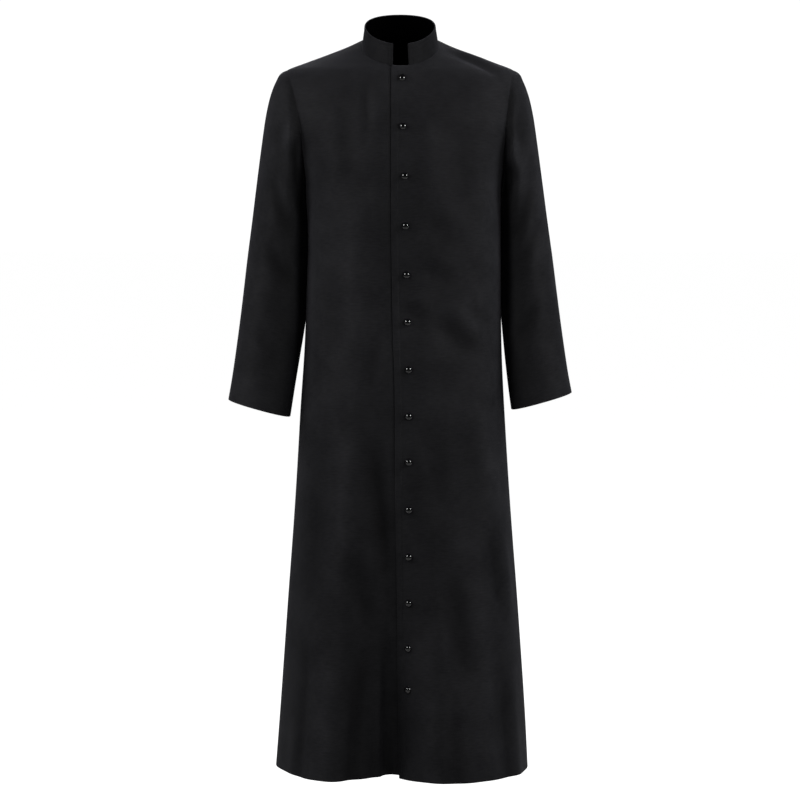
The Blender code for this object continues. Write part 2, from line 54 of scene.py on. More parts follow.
# lean shifts a section sideways, ridge_y is where its widest points lie, front and
# back are its depths at the centre line, squareness is the exponent of its outline.
BODY_COLUMNS = ("height", "half_width", "lean", "ridge_y", "front", "back", "squareness")
BODY_SECTIONS = (
    (-1.4240, 0.2483, 0.0030, 0.000, 0.1840, 0.1720, 2.35),
    (-1.2965, 0.2390, 0.0040, 0.000, 0.1700, 0.1630, 2.30),
    (-1.0970, 0.2255, 0.0050, 0.000, 0.1550, 0.1530, 2.25),
    (-0.8990, 0.2110, 0.0050, 0.000, 0.1430, 0.1440, 2.25),
    (-0.7410, 0.2008, 0.0050, 0.000, 0.1340, 0.1360, 2.25),
    (-0.5840, 0.1920, 0.0064, 0.000, 0.1240, 0.1240, 2.25),
    (-0.4700, 0.1893, 0.0075, 0.000, 0.1180, 0.1120, 2.25),
    (-0.3890, 0.1878, 0.0086, 0.000, 0.1210, 0.1150, 2.25),
    (-0.2840, 0.1915, 0.0072, 0.000, 0.1270, 0.1210, 2.30),
    (-0.2400, 0.2020, 0.0070, 0.000, 0.1265, 0.1220, 2.25),
    (-0.2000, 0.2170, 0.0065, 0.000, 0.1235, 0.1210, 2.20),
    (-0.1650, 0.2320, 0.0060, 0.000, 0.1180, 0.1190, 2.15),
    (-0.1300, 0.2430, 0.0045, 0.000, 0.1105, 0.1155, 2.05),
    (-0.1000, 0.2475, 0.0030, 0.000, 0.1015, 0.1110, 1.92),
    (-0.0750, 0.2400, 0.0012, 0.000, 0.0920, 0.1050, 1.78),
    (-0.0605, 0.2210, 0.0005, 0.000, 0.0840, 0.1000, 1.68),
    (-0.0450, 0.1820, 0.0005, 0.004, 0.0700, 0.0940, 1.58),
    (-0.0280, 0.1365, 0.0005, 0.011, 0.0500, 0.0860, 1.52),
    (-0.0135, 0.1000, 0.0005, 0.018, 0.0310, 0.0770, 1.50),
    (-0.0010, 0.0735, 0.0005, 0.026, 0.0120, 0.0680, 1.50),
    (0.0080, 0.0520, 0.0005, 0.034, -0.0080, 0.0615, 1.50),
    (0.0200, 0.0300, 0.0005, 0.040, -0.0250, 0.0520, 1.50),
)

# angle is measured from the centre front towards the wearer's left, the two widths
# are the fold's reach on its right and left side, in degrees, and depth is how far
# it stands out (or in, when negative) at the hem.
FOLD_COLUMNS = ("angle", "right_width", "left_width", "top", "depth", "growth")
FOLDS = (
    (-12.0, 29.0, 40.0, -0.70, -0.086, 1.7),
    (34.0, 20.0, 22.0, -0.80, 0.013, 1.5),
    (62.0, 17.0, 17.0, -0.50, 0.007, 1.0),
    (-72.0, 18.0, 18.0, -0.62, -0.009, 1.2),
    (-146.0, 24.0, 26.0, -0.60, -0.026, 1.5),
    (140.0, 22.0, 24.0, -0.66, -0.022, 1.5),
    (178.0, 17.0, 17.0, -0.56, 0.016, 1.3),
)

# The armhole: half distances from the middle of the body, front and back.
ARMHOLE_COLUMNS = ("height", "front_x", "back_x")
ARMHOLE = (
    (-0.2840, 0.1915, 0.1915),
    (-0.2600, 0.1925, 0.1940),
    (-0.2350, 0.1940, 0.1975),
    (-0.2000, 0.1960, 0.2015),
    (-0.1650, 0.1985, 0.2050),
    (-0.1300, 0.2035, 0.2085),
    (-0.1000, 0.2085, 0.2125),
    (-0.0750, 0.2150, 0.2170),
    (-0.0605, 0.2210, 0.2210),
)
NECK_HALF_WIDTH = 0.0745
NECK_HALF_DEPTH = 0.0700
NECK_MIDDLE_Y = -0.0080


def smooth_table(rows, columns):
    """Return a function that reads a table's named columns at an array of positions.

    Between rows each value follows a cubic that never overshoots its neighbours.
    """
    table = np.array(rows, dtype=float)
    knots = table[:, 0]
    values = table[:, 1:]
    steps = np.diff(knots)[:, None]
    chords = np.diff(values, axis=0) / steps
    slopes = np.zeros_like(values)
    slopes[0] = chords[0]
    slopes[-1] = chords[-1]
    same_way = chords[:-1] * chords[1:] > 0
    before = steps[1:] + 2 * steps[:-1]
    after = 2 * steps[1:] + steps[:-1]
    safe_low = np.where(same_way, chords[:-1], 1.0)
    safe_high = np.where(same_way, chords[1:], 1.0)
    mean = (before + after) / (after / safe_low + before / safe_high)
    slopes[1:-1] = np.where(same_way, mean, 0.0)

    def read(position):
        position = np.clip(position, knots[0], knots[-1])
        row = np.clip(np.searchsorted(knots, position, side="right") - 1, 0, len(knots) - 2)
        step = (knots[row + 1] - knots[row])[..., None]
        s = (position - knots[row])[..., None] / step
        result = ((1 + 2 * s) * (1 - s) ** 2 * values[row]
                  + s * (1 - s) ** 2 * step * slopes[row]
                  + s * s * (3 - 2 * s) * values[row + 1]
                  + s * s * (s - 1) * step * slopes[row + 1])
        return {name: result[..., index] for index, name in enumerate(columns[1:])}

    return read


body_at = smooth_table(BODY_SECTIONS, BODY_COLUMNS)
armhole_at = smooth_table(ARMHOLE, ARMHOLE_COLUMNS)


def fold_reach(angle, height):
    """How far the large folds move the cloth out."""
    reach = np.zeros(np.broadcast(angle, height).shape)
    for row in FOLDS:
        fold = dict(zip(FOLD_COLUMNS, row))
        away = (np.degrees(angle) - fold["angle"] + 180.0) % 360.0 - 180.0
        width = np.where(away > 0, fold["left_width"], fold["right_width"])
        fall = np.clip((fold["top"] - height) / (fold["top"] - HEM_Z), 0, None)
        crest = np.cos(0.5 * math.pi * np.clip(away / width, -1, 1)) ** 2
        reach += fold["depth"] * fall ** fold["growth"] * crest
    return reach


def body_point(angle, height):
    """Points of the body's outer face: angle from the centre front, then height."""
    angle, height = np.broadcast_arrays(np.asarray(angle, float), np.asarray(height, float))
    section = body_at(height)
    at_front = np.abs(angle) <= 0.5 * math.pi
    depth = np.where(at_front, section["front"] + section["ridge_y"],
                     section["back"] - section["ridge_y"])
    power = section["squareness"]
    across = np.abs(np.sin(angle)) / section["half_width"]
    along = np.abs(np.cos(angle)) / depth
    radius = (across ** power + along ** power) ** (-1 / power) + fold_reach(angle, height)
    return np.stack((section["lean"] + radius * np.sin(angle),
                     section["ridge_y"] - radius * np.cos(angle), height), axis=-1)


def unit(vectors):
    """The vectors at length one."""
    return vectors / np.maximum(np.linalg.norm(vectors, axis=-1, keepdims=True), 1e-12)


def body_normal(angle, height):
    """The outward direction of the body's face."""
    turn = 1e-3
    rise = 1e-4
    around = body_point(angle + turn, height) - body_point(angle - turn, height)
    up = body_point(angle, height + rise) - body_point(angle, height - rise)
    return unit(np.cross(around, up))


def halve(low, high, is_high):
    """Halve the ranges until they close on the place where is_high turns true."""
    for _ in range(40):
        middle = 0.5 * (low + high)
        beyond = is_high(middle)
        high = np.where(beyond, middle, high)
        low = np.where(beyond, low, middle)
    return 0.5 * (low + high)


def angle_at_x(x, height):
    """The angle at which the front of the body passes x at this height."""
    x, height = np.broadcast_arrays(np.asarray(x, float), np.asarray(height, float))
    reach = np.full(x.shape, math.radians(88))
    return halve(-reach, reach, lambda angle: body_point(angle, height)[..., 0] > x)


def neckline_place(turn):
    """Angle and height of the neckline, turn being the direction in plan."""
    turn = np.asarray(turn, float)
    x = NECK_HALF_WIDTH * np.sin(turn)
    y = NECK_MIDDLE_Y - NECK_HALF_DEPTH * np.cos(turn)

    def is_outside(height):
        section = body_at(height)
        ridge = section["ridge_y"]
        depth = np.where(y < ridge, section["front"] + ridge, section["back"] - ridge)
        power = section["squareness"]
        return (np.abs(x) / section["half_width"]) ** power + (
            np.abs(y - ridge) / depth) ** power > 1

    height = halve(np.full(turn.shape, -0.090), np.full(turn.shape, 0.019), is_outside)
    return np.arctan2(x, body_at(height)["ridge_y"] - y), height


NECK_TURN = float(halve(np.array(math.radians(80)), np.array(math.radians(150)),
                        lambda turn: np.abs(neckline_place(turn)[0]) > 0.5 * math.pi))


def armhole_place(side, fraction, at_back):
    """Angle and height on the armhole: fraction 0 is the armpit, 1 the shoulder tip."""
    fraction = np.asarray(fraction, float)
    rise = 0.5 * (1 - np.cos(math.pi * fraction))
    height = ARMPIT_Z + (SHOULDER_TIP_Z - ARMPIT_Z) * rise
    x_half = armhole_at(height)["back_x" if at_back else "front_x"]
    section = body_at(height)
    power = section["squareness"]
    share = np.minimum(x_half / section["half_width"], 1.0)
    depth = section["back"] - section["ridge_y"] if at_back else (
        section["front"] + section["ridge_y"])
    along = depth * (1 - share ** power) ** (1 / power)
    angle = np.arctan2(x_half, -along if at_back else along)
    at_end = (fraction <= 0) | (fraction >= 1)
    return side * np.where(at_end, 0.5 * math.pi, angle), height


def chest_height(angle):
    """The row where the armhole rows begin: it climbs to the armpit at the side."""
    to_side = 1 - np.abs(np.abs(angle) / (0.5 * math.pi) - 1)
    return CHEST_Z + (ARMPIT_Z - CHEST_Z) * to_side ** 3


# ==== How the cloth creases =======================================================
# Worn cloth breaks in soft troughs and ridges. Each is one row: where it starts and
# ends, how far its middle bows aside, its width, its depth (a ridge when positive)
# and the lip it pushes up on one side, all in metres.
CREASE_COLUMNS = ("from_x", "from_z", "to_x", "to_z", "bow", "width", "depth", "lip")
FRONT_CREASES = (
    # wearer's right front, from the shoulder down
    (-0.062, -0.055, -0.056, -0.200, 0.004, 0.011, -0.0030, 0.4),
    (-0.105, -0.080, -0.085, -0.300, 0.006, 0.022, -0.0024, 0.3),
    (-0.150, -0.100, -0.120, -0.330, -0.010, 0.026, 0.0022, 0.0),
    (-0.120, -0.235, -0.040, -0.300, 0.010, 0.024, -0.0020, 0.3),
    (-0.075, -0.290, -0.088, -0.520, 0.006, 0.022, 0.0028, 0.0),
    (-0.150, -0.430, -0.128, -0.640, -0.010, 0.026, -0.0034, 0.3),
    (-0.030, -0.540, -0.060, -0.700, 0.004, 0.016, -0.0026, 0.4),
    (-0.057, -0.740, -0.024, -1.060, -0.006, 0.022, -0.0068, 0.5),
    (-0.093, -0.720, -0.098, -1.040, 0.006, 0.022, 0.0046, 0.0),
    (-0.150, -0.800, -0.165, -1.150, 0.008, 0.028, -0.0044, 0.4),
    (-0.096, -0.980, -0.054, -1.170, 0.000, 0.020, -0.0052, 0.4),
    (-0.062, -1.120, -0.094, -1.440, 0.006, 0.020, -0.0082, 0.0),
    (-0.040, -1.130, -0.042, -1.440, 0.001, 0.010, 0.0050, 0.0),
    (-0.122, -1.150, -0.140, -1.440, 0.006, 0.020, 0.0046, 0.0),
    (-0.178, -1.080, -0.200, -1.440, -0.004, 0.022, -0.0055, 0.4),
    # wearer's left front, from the shoulder down
    (0.078, -0.020, 0.205, -0.082, -0.006, 0.014, -0.0052, 0.7),
    (0.058, -0.110, 0.066, -0.330, 0.004, 0.024, 0.0022, 0.0),
    (0.110, -0.130, 0.120, -0.380, -0.008, 0.028, -0.0026, 0.3),
    (0.168, -0.240, 0.150, -0.430, -0.006, 0.022, 0.0026, 0.0),
    (0.045, -0.330, 0.130, -0.400, 0.010, 0.024, -0.0024, 0.4),
    (-0.004, -0.500, 0.060, -0.545, 0.006, 0.018, -0.0030, 0.4),
    (0.060, -0.520, 0.165, -0.610, 0.012, 0.024, -0.0056, 0.6),
    (0.040, -0.430, 0.105, -0.470, 0.006, 0.018, -0.0022, 0.4),
    (0.120, -0.500, 0.185, -0.560, 0.006, 0.016, -0.0030, 0.5),
    (0.158, -0.680, 0.190, -0.930, 0.006, 0.022, 0.0056, 0.0),
    (0.120, -0.700, 0.150, -0.990, 0.006, 0.026, -0.0040, 0.3),
    (0.060, -0.700, 0.085, -0.950, 0.004, 0.026, -0.0030, 0.3),
    (0.166, -0.930, 0.200, -1.140, -0.004, 0.018, -0.0062, 0.5),
    (0.090, -1.000, 0.122, -1.270, -0.006, 0.026, -0.0064, 0.4),
    (0.150, -1.040, 0.178, -1.440, 0.004, 0.022, 0.0052, 0.0),
    (0.060, -1.060, 0.072, -1.440, -0.004, 0.026, 0.0040, 0.0),
    (0.100, -1.240, 0.108, -1.440, 0.002, 0.020, -0.0050, 0.0),
    (0.198, -1.180, 0.216, -1.440, 0.002, 0.018, -0.0050, 0.4),
)
CREASE_FADE = 0.38       # the share at each end over which a crease dies away
HEM_FADE = 0.5           # the same at the top of a fold that runs out at the hem
LIP_PLACE = 1.7          # where the lip stands, in widths of its crease


def ease(share):
    """A share from 0 to 1, eased at both ends."""
    share = np.clip(share, 0, 1)
    return share * share * (3 - 2 * share)


def crease_line(row, is_back):
    """Points along one crease on the body's face."""
    share = np.linspace(0, 1, 15)
    bowed = row["bow"] * 4 * share * (1 - share)
    x = row["from_x"] + (row["to_x"] - row["from_x"]) * share
    z = row["from_z"] + (row["to_z"] - row["from_z"]) * share
    length = math.hypot(row["to_x"] - row["from_x"], row["to_z"] - row["from_z"])
    x = x + bowed * (row["to_z"] - row["from_z"]) / length
    z = z - bowed * (row["to_x"] - row["from_x"]) / length
    if not is_back:
        return body_point(angle_at_x(x, z), z)
    reach = np.full(x.shape, math.radians(88))
    turned = halve(-reach, reach, lambda away: body_point(math.pi - away, z)[..., 0] > x)
    return body_point(math.pi - turned, z)


def along_line(points, normals, line):
    """Distance to a line of points, the side it lies on, and the share along it."""
    best = np.full(points.shape[:-1], 9.0)
    side = np.zeros(points.shape[:-1])
    share = np.zeros(points.shape[:-1])
    for index in range(len(line) - 1):
        run = line[index + 1] - line[index]
        away = points - line[index]
        step = np.clip((away @ run) / (run @ run), 0, 1)
        away = away - step[..., None] * run
        distance = np.linalg.norm(away, axis=-1)
        nearer = distance < best
        best = np.where(nearer, distance, best)
        share = np.where(nearer, (index + step) / (len(line) - 1), share)
        turn = np.einsum("...i,...i", np.cross(run, away), normals)
        side = np.where(nearer, np.sign(turn), side)
    return best, side, share


def one_crease(row, distance, side, fade):
    """How far a crease moves the cloth at a distance from its line, with its lip."""
    trough = np.exp(-(distance / row["width"]) ** 2)
    lip = np.exp(-((distance - LIP_PLACE * row["width"]) / row["width"]) ** 2)
    return row["depth"] * ease(fade) * (trough - row["lip"] * lip * (side > 0))


def crease_relief(points, normals, rows, line_of):
    """How far the creases move the cloth out or in."""
    relief = np.zeros(points.shape[:-1])
    for values in rows:
        row = dict(zip(CREASE_COLUMNS, values))
        line = line_of(row)
        near = np.linalg.norm(points - line.mean(axis=0), axis=-1) < (
            0.6 * np.linalg.norm(line[-1] - line[0]) + 5 * row["width"])
        if not near.any():
            continue
        distance, side, share = along_line(points[near], normals[near], line)
        fade = np.minimum(share, 1 - share) / CREASE_FADE
        if line[-1][2] < HEM_Z:
            fade = share / HEM_FADE
        relief[near] += one_crease(row, distance, side, fade)
    return relief


def unevenness(points, size, seed):
    """Slight swells of cloth that never hangs quite true, longer upright than across."""
    rng = np.random.default_rng(seed)
    swell = np.zeros(points.shape[:-1])
    for _ in range(14):
        wave = rng.normal(size=3) * np.array((26.0, 26.0, 9.0))
        swell += np.sin(points @ wave + rng.uniform(0, 2 * math.pi))
    return size * swell / 14 ** 0.5


# ==== Cutting and hanging the cloth ================================================
# Every piece is a thin wall on the body's form. Its edges are turned, so they are
# rounded, and its seams are pressed, so the cloth rolls in a little along them.
CLOTH = 0.0016           # wall of the wool cloth
SEAM_GAP = 0.0003
ROLL = 0.0006            # how far a pressed seam draws in
ROLL_REACH = 0.0034
PANEL_SWELL = 0.0011     # how uneven the panels hang
SEAM_CALM = 0.020        # creases and swells die away this near a seam
BODY_SHADE = 0.45          # the body's painted shade and highlight are weaker than the sleeves'


def grid_normals(points, wraps=False):
    """Outward directions of a grid: columns run to the wearer's left, rows go up."""
    up = np.gradient(points, axis=0)
    if wraps:
        around = np.roll(points, -1, axis=1) - np.roll(points, 1, axis=1)
    else:
        around = np.gradient(points, axis=1)
    return unit(np.cross(around, up))


def run_lengths(points, axis):
    """Distance along the grid's rows or columns from their first point."""
    steps = np.linalg.norm(np.diff(points, axis=axis), axis=-1)
    start = np.zeros_like(np.take(steps, [0], axis=axis))
    return np.concatenate((start, np.cumsum(steps, axis=axis)), axis=axis)


def cloth_shell(name, outer, normals, wall, worn=None, wraps=False, shaded_foot=False,
                slit=None):
    """A closed wall of cloth between a grid of outer points and the same set in.

    Its rims are half round. The UV map is in metres along and across the cloth. The
    inner faces take the near-black inside material, which is painted shade, and so does a
    foot that lies inside a seam. A slit, (column, row), parts the grid after that column
    above that row. The relief given for the material says how far each point stands out of
    (or in from) the smooth form; the material paints shade in the hollows and highlight on the
    ridges from it.
    """
    rows, columns = outer.shape[:2]
    wall = np.broadcast_to(np.asarray(wall, float), (rows, columns))
    inner = outer - normals * wall[..., None]
    count = rows * columns
    index = np.arange(count).reshape(rows, columns)
    if slit:
        column, row = slit
        index[:row + 1, column + 1] = index[:row + 1, column]
    if wraps:
        index = np.concatenate((index, index[:, :1]), axis=1)
        closing = np.concatenate((outer, outer[:, :1]), axis=1)
    else:
        closing = outer
    across = run_lengths(closing, 1)
    across = across - (0 if wraps else across[:, -1:] * 0.5)
    along = np.broadcast_to(run_lengths(closing, 0), across.shape)
    uv = np.stack((across, along), axis=-1)
    low = (slice(None, -1), slice(None, -1))
    right = (slice(None, -1), slice(1, None))
    high = (slice(1, None), slice(1, None))
    left = (slice(1, None), slice(None, -1))

    def quads(values):
        return np.stack((values[low], values[right], values[high], values[left]), axis=2)

    face = quads(index)
    face_uv = quads(uv)
    if slit:
        face = np.delete(face, column, axis=1)
        face_uv = np.delete(face_uv, column, axis=1)
    face = face.reshape(-1, 4)
    face_uv = face_uv.reshape(-1, 4, 2)
    faces = [face, face[:, ::-1] + count]
    face_uvs = [face_uv, face_uv[:, ::-1]]
    verts = [outer.reshape(-1, 3), inner.reshape(-1, 3)]
    worn = np.zeros((rows, columns)) if worn is None else worn
    shade_per_point = [worn.ravel(), worn.ravel()]

    if wraps:
        loops = [[(0, column) for column in range(columns)],
                 [(rows - 1, column) for column in reversed(range(columns))]]
    elif slit:
        loops = [[(0, at) for at in range(columns) if at != column + 1]
                 + [(at, columns - 1) for at in range(1, rows)]
                 + [(rows - 1, at) for at in reversed(range(column + 1, columns - 1))]
                 + [(at, column + 1) for at in reversed(range(row + 1, rows - 1))]
                 + [(at, column) for at in range(row, rows)]
                 + [(rows - 1, at) for at in reversed(range(column))]
                 + [(at, 0) for at in reversed(range(1, rows - 1))]]
    else:
        loops = [[(0, column) for column in range(columns)]
                 + [(row, columns - 1) for row in range(1, rows)]
                 + [(rows - 1, column) for column in reversed(range(columns - 1))]
                 + [(row, 0) for row in reversed(range(1, rows - 1))]]
    start = 2 * count
    for loop in loops:
        loop = np.array(loop)
        row, column = loop[:, 0], loop[:, 1]
        edge = outer[row, column]
        middle = 0.5 * (edge + inner[row, column])
        half = edge - middle
        onward = unit(np.roll(edge, -1, axis=0) - np.roll(edge, 1, axis=0))
        bulge = unit(np.cross(onward, half)) * np.linalg.norm(half, axis=1)[:, None]
        rings = [index[row, column]]
        for angle in (45.0, 90.0, 135.0):
            turn = math.radians(angle)
            verts.append(middle + half * math.cos(turn) + bulge * math.sin(turn))
            shade_per_point.append(worn[row, column])
            rings.append(start + np.arange(len(loop)))
            start += len(loop)
        rings.append(index[row, column] + count)
        loop_uv = uv[row, column]
        next_uv = np.roll(loop_uv, -1, axis=0)
        for near, far in zip(rings[:-1], rings[1:]):
            faces.append(np.stack((near, far, np.roll(far, -1), np.roll(near, -1)), axis=1))
            face_uvs.append(np.stack((loop_uv, loop_uv, next_uv, next_uv), axis=1))

    used, faces = np.unique(np.concatenate(faces), return_inverse=True)
    mesh = bpy.data.meshes.new(name)
    mesh.from_pydata(np.concatenate(verts)[used].tolist(), [], faces.reshape(-1, 4).tolist())
    painted_shade = mesh.attributes.new("worn", "FLOAT", "POINT")
    painted_shade.data.foreach_set("value", np.concatenate(shade_per_point)[used].astype(np.float32))
    layer = mesh.uv_layers.new(name="cloth")
    layer.data.foreach_set("uv", np.concatenate(face_uvs).astype(np.float32).ravel())
    mesh.materials.append(gabardine)
    mesh.materials.append(inside_shade)
    # painted shade: the inner faces, and the foot when asked, take the near-black inside
    # material
    sides = np.zeros(len(mesh.polygons), np.int32)
    sides[len(face):2 * len(face)] = 1
    for band in range(4 if shaded_foot else 0):
        first = 2 * len(face) + band * len(loops[0])
        sides[first:first + columns - 1] = 1
    mesh.polygons.foreach_set("material_index", sides)
    mesh.shade_smooth()
    mesh.update()
    obj = bpy.data.objects.new(name, mesh)
    bpy.context.scene.collection.objects.link(obj)
    return obj


# ==== The fronts ==================================================================
# Two panels of black wool gabardine. The wearer's left front laps over the right; its
# free edge is turned in and topstitched 12 mm from the fold.
FRONT_COLUMNS = ("height", "edge_x", "button_x")
FRONT_LINE = (
    (-1.424, -0.0019, 0.0145),
    (-1.175, -0.0039, 0.0155),
    (-1.040, -0.0058, 0.0165),
    (-0.880, -0.0083, 0.0168),
    (-0.670, -0.0096, 0.0168),
    (-0.540, -0.0134, 0.0148),
    (-0.450, -0.0148, 0.0125),
    (-0.360, -0.0158, 0.0108),
    (-0.260, -0.0158, 0.0092),
    (-0.170, -0.0158, 0.0060),
    (-0.050, -0.0157, 0.0038),
)
UNDERLAP = 0.0142        # how far the lower front reaches past the buttons
LOWER_ROWS = 250
EDGE_ROWS = 66
NECK_ROWS = 44
UPPER_ROWS = EDGE_ROWS + NECK_ROWS
SPACING = 0.0042         # between the columns of cloth points
BACK_SPACING = 0.0051
EDGE_COLUMNS = (0, 0.0010, 0.0024, 0.0042, 0.0064, 0.0086, 0.0104, 0.0115, 0.0126,
                0.0138, 0.0156, 0.0180, 0.0210)
SEAM_COLUMNS = (0.0075, 0.0045, 0.0026, 0.0012, 0)
TOPSTITCH = 0.0120       # from the free edge
EDGE_SWELL = 0.0005      # the turned edge is thicker than the single cloth
EDGE_STEP = 0.0016       # the width over which that thickness ends
STITCH_GROOVE = 0.0003
GROOVE_REACH = 0.0012
DIP_START = 0.009        # where the lower front starts to dip, before the upper's edge
DIP_RUN = 0.008
HEM_TURNING = 0.038
HEM_DROP = 0.0055        # the upper front's free corner hangs lower than the under one

front_line_at = smooth_table(FRONT_LINE, FRONT_COLUMNS)


def panel_places(side, at_back, line_x, start_turn):
    """A panel's places as two grids, angle and height, hem to shoulder.

    line_x gives the panel's inner line along X at a height; on the back it is the
    centre line. Columns run from the inner line out to the side seam and armhole.
    """
    seam = side * 0.5 * math.pi
    start_place = neckline_place(start_turn)
    lift = np.linspace(0, 1, LOWER_ROWS + 1)
    lift = lift * (0.62 + 0.38 * lift ** 0.6)
    angle_rows = []
    height_rows = []
    columns = None
    for share in lift:
        start_z = HEM_Z + share * (CHEST_Z - HEM_Z)
        start = side * math.pi if at_back else float(angle_at_x(line_x(start_z), start_z))
        angles = np.linspace(start, seam, 160)
        heights = HEM_Z + share * (chest_height(angles) - HEM_Z)
        lengths = run_lengths(body_point(angles, heights), 0)
        first = np.array((0,) if at_back else EDGE_COLUMNS)
        last = lengths[-1] - np.array(SEAM_COLUMNS)
        if columns is None:
            spacing = BACK_SPACING if at_back else SPACING
            columns = int((last[0] - first[-1]) / spacing * 0.94)
        between = np.linspace(first[-1], last[0], columns)[1:-1]
        spots = np.concatenate((first, between, last))
        row_angles = np.interp(spots, lengths, angles)
        angle_rows.append(row_angles)
        height_rows.append(HEM_Z + share * (chest_height(row_angles) - HEM_Z))
    foot_share = spots / lengths[-1]

    edge_z = CHEST_Z + (start_place[1] - CHEST_Z) * np.arange(EDGE_ROWS) / EDGE_ROWS
    edge_angle = np.full(EDGE_ROWS, side * math.pi) if at_back else (
        angle_at_x(line_x(edge_z), edge_z))
    turns = start_turn + (side * NECK_TURN - start_turn) * np.arange(NECK_ROWS) / NECK_ROWS
    neck_angle, neck_z = neckline_place(turns)
    if at_back:
        neck_angle[0] = side * math.pi
    inner = np.stack((np.concatenate((edge_angle, neck_angle, (seam,))),
                      np.concatenate((edge_z, neck_z,
                                      (neckline_place(side * NECK_TURN)[1],)))), axis=1)
    outer = np.stack(armhole_place(side, np.arange(UPPER_ROWS + 1) / UPPER_ROWS, at_back),
                     axis=1)
    foot = np.stack((angle_rows[-1], height_rows[-1]), axis=1)
    inner[0] = foot[0]
    outer[0] = foot[-1]
    v = (np.arange(UPPER_ROWS + 1) / UPPER_ROWS)[:, None, None]
    u = foot_share[None, :, None]
    top = inner[-1] + (outer[-1] - inner[-1]) * u[0]
    patch = ((1 - v) * foot[None] + v * top[None]
             + (1 - u) * inner[:, None] + u * outer[:, None]
             - (1 - u) * (1 - v) * foot[0] - u * (1 - v) * foot[-1]
             - (1 - u) * v * inner[-1] - u * v * outer[-1])
    angle = np.concatenate((np.array(angle_rows), patch[1:, :, 0]))
    height = np.concatenate((np.array(height_rows), patch[1:, :, 1]))
    return angle, height


def seam_roll(distance):
    """How a pressed seam draws the cloth in beside it."""
    return -ROLL * np.exp(-(distance / ROLL_REACH) ** 2)


def hung_panel(angle, height, creases, is_back, seed):
    """The panel's base points, outward directions, relief and the relief for painted shade,
    seams pressed in.
    """
    base = body_point(angle, height)
    normals = body_normal(angle, height)
    relief = crease_relief(base, normals, creases, lambda row: crease_line(row, is_back))
    to_seam = run_lengths(base[:, ::-1], 1)[:, ::-1]
    to_shoulder = run_lengths(base[::-1], 0)[::-1]
    swell = unevenness(base, PANEL_SWELL, seed)
    settle = np.clip(to_seam / SEAM_CALM, 0, 1) * np.clip(to_shoulder / SEAM_CALM, 0, 1)
    # the material paints shade in troughs and highlight on ridges from this relief
    worn = (relief + swell) * settle
    relief = worn + seam_roll(to_seam) + seam_roll(to_shoulder) * (height > -0.2)
    return base, normals, relief, BODY_SHADE * worn


def finish_panel(name, base, normals, relief, worn, flips):
    """Move the points out, part the seams and make the wall of cloth."""
    points = base + normals * relief[..., None]
    points[:, -1, 1] -= 0.5 * SEAM_GAP
    points[-1, :, 1] -= 0.5 * SEAM_GAP
    if flips:
        points = points[:, ::-1]
        worn = worn[:, ::-1]
    faces_out = grid_normals(points)
    seam = 0 if flips else -1
    faces_out[:, seam, 1] = 0.0
    faces_out[-1, :, 1] = 0.0
    faces_out = unit(faces_out)
    hem = run_lengths(points, 0) < HEM_TURNING
    return cloth_shell(name, points, faces_out, np.where(hem, 1.5 * CLOTH, CLOTH), worn)


def edge_x(height):
    return front_line_at(height)["edge_x"]


def under_x(height):
    return front_line_at(height)["button_x"] + UNDERLAP


def front_left():
    """The upper front, with its turned and topstitched free edge."""
    top_turn = math.asin(edge_x(np.array(-0.050)) / NECK_HALF_WIDTH)
    angle, height = panel_places(1, False, edge_x, top_turn)
    base, normals, relief, worn = hung_panel(angle, height, FRONT_CREASES, False, 5)
    line_z = np.linspace(HEM_Z, height[LOWER_ROWS + EDGE_ROWS, 0] + 0.004, 120)
    line = body_point(angle_at_x(edge_x(line_z), line_z), line_z)
    near = slice(0, 24)
    distance = along_line(base[:, near], normals[:, near], line)[0]
    turned = EDGE_SWELL * np.clip((TOPSTITCH - distance) / EDGE_STEP + 0.5, 0, 1)
    groove = -STITCH_GROOVE * np.exp(-((distance - TOPSTITCH) / GROOVE_REACH) ** 2)
    relief[:, near] += turned + groove
    to_edge = run_lengths(base, 1)
    drop = np.clip((-1.10 - height) / (-1.10 - HEM_Z), 0, 1) ** 2
    base[..., 2] -= HEM_DROP * drop * np.exp(-(to_edge / 0.07) ** 2)
    return finish_panel("upper_front_cloth", base, normals, relief, worn, False)


def front_right():
    """The lower front, which dips under the upper one's edge."""
    top_turn = math.asin(under_x(np.array(-0.050)) / NECK_HALF_WIDTH)
    angle, height = panel_places(-1, False, under_x, top_turn)
    base, normals, relief, worn = hung_panel(angle, height, FRONT_CREASES, False, 5)
    over = (base[..., 0] - edge_x(height) + DIP_START) / DIP_RUN
    relief -= (CLOTH + SEAM_GAP) * ease(over)
    return finish_panel("under_front_cloth", base, normals, relief, worn, True)


# The wool: a fine steep twill, matt, with a soft bloom where it turns away. Its yarns
# are a little uneven, which shows as short level streaks. Painted highlight and shade:
# the base colour is lighter on ridges and darker in troughs. The inside faces are a
# near-black copy of the wool, which is painted shade.
WOOL = (0.0058, 0.0058, 0.0066)
WOOL_WORN = (0.0124, 0.0124, 0.0137)
WOOL_INSIDE_SHADE = (0.0006, 0.0006, 0.0007)
TWILL_PITCH = 0.0011
SHADE_REACH = 0.0060       # relief at which the painted shade and highlight are at their full


def new_material(name):
    """A material, its nodes, its links and its shader."""
    material = bpy.data.materials.new(name)
    material.use_nodes = True
    nodes = material.node_tree.nodes
    return material, nodes, material.node_tree.links, nodes["Principled BSDF"]


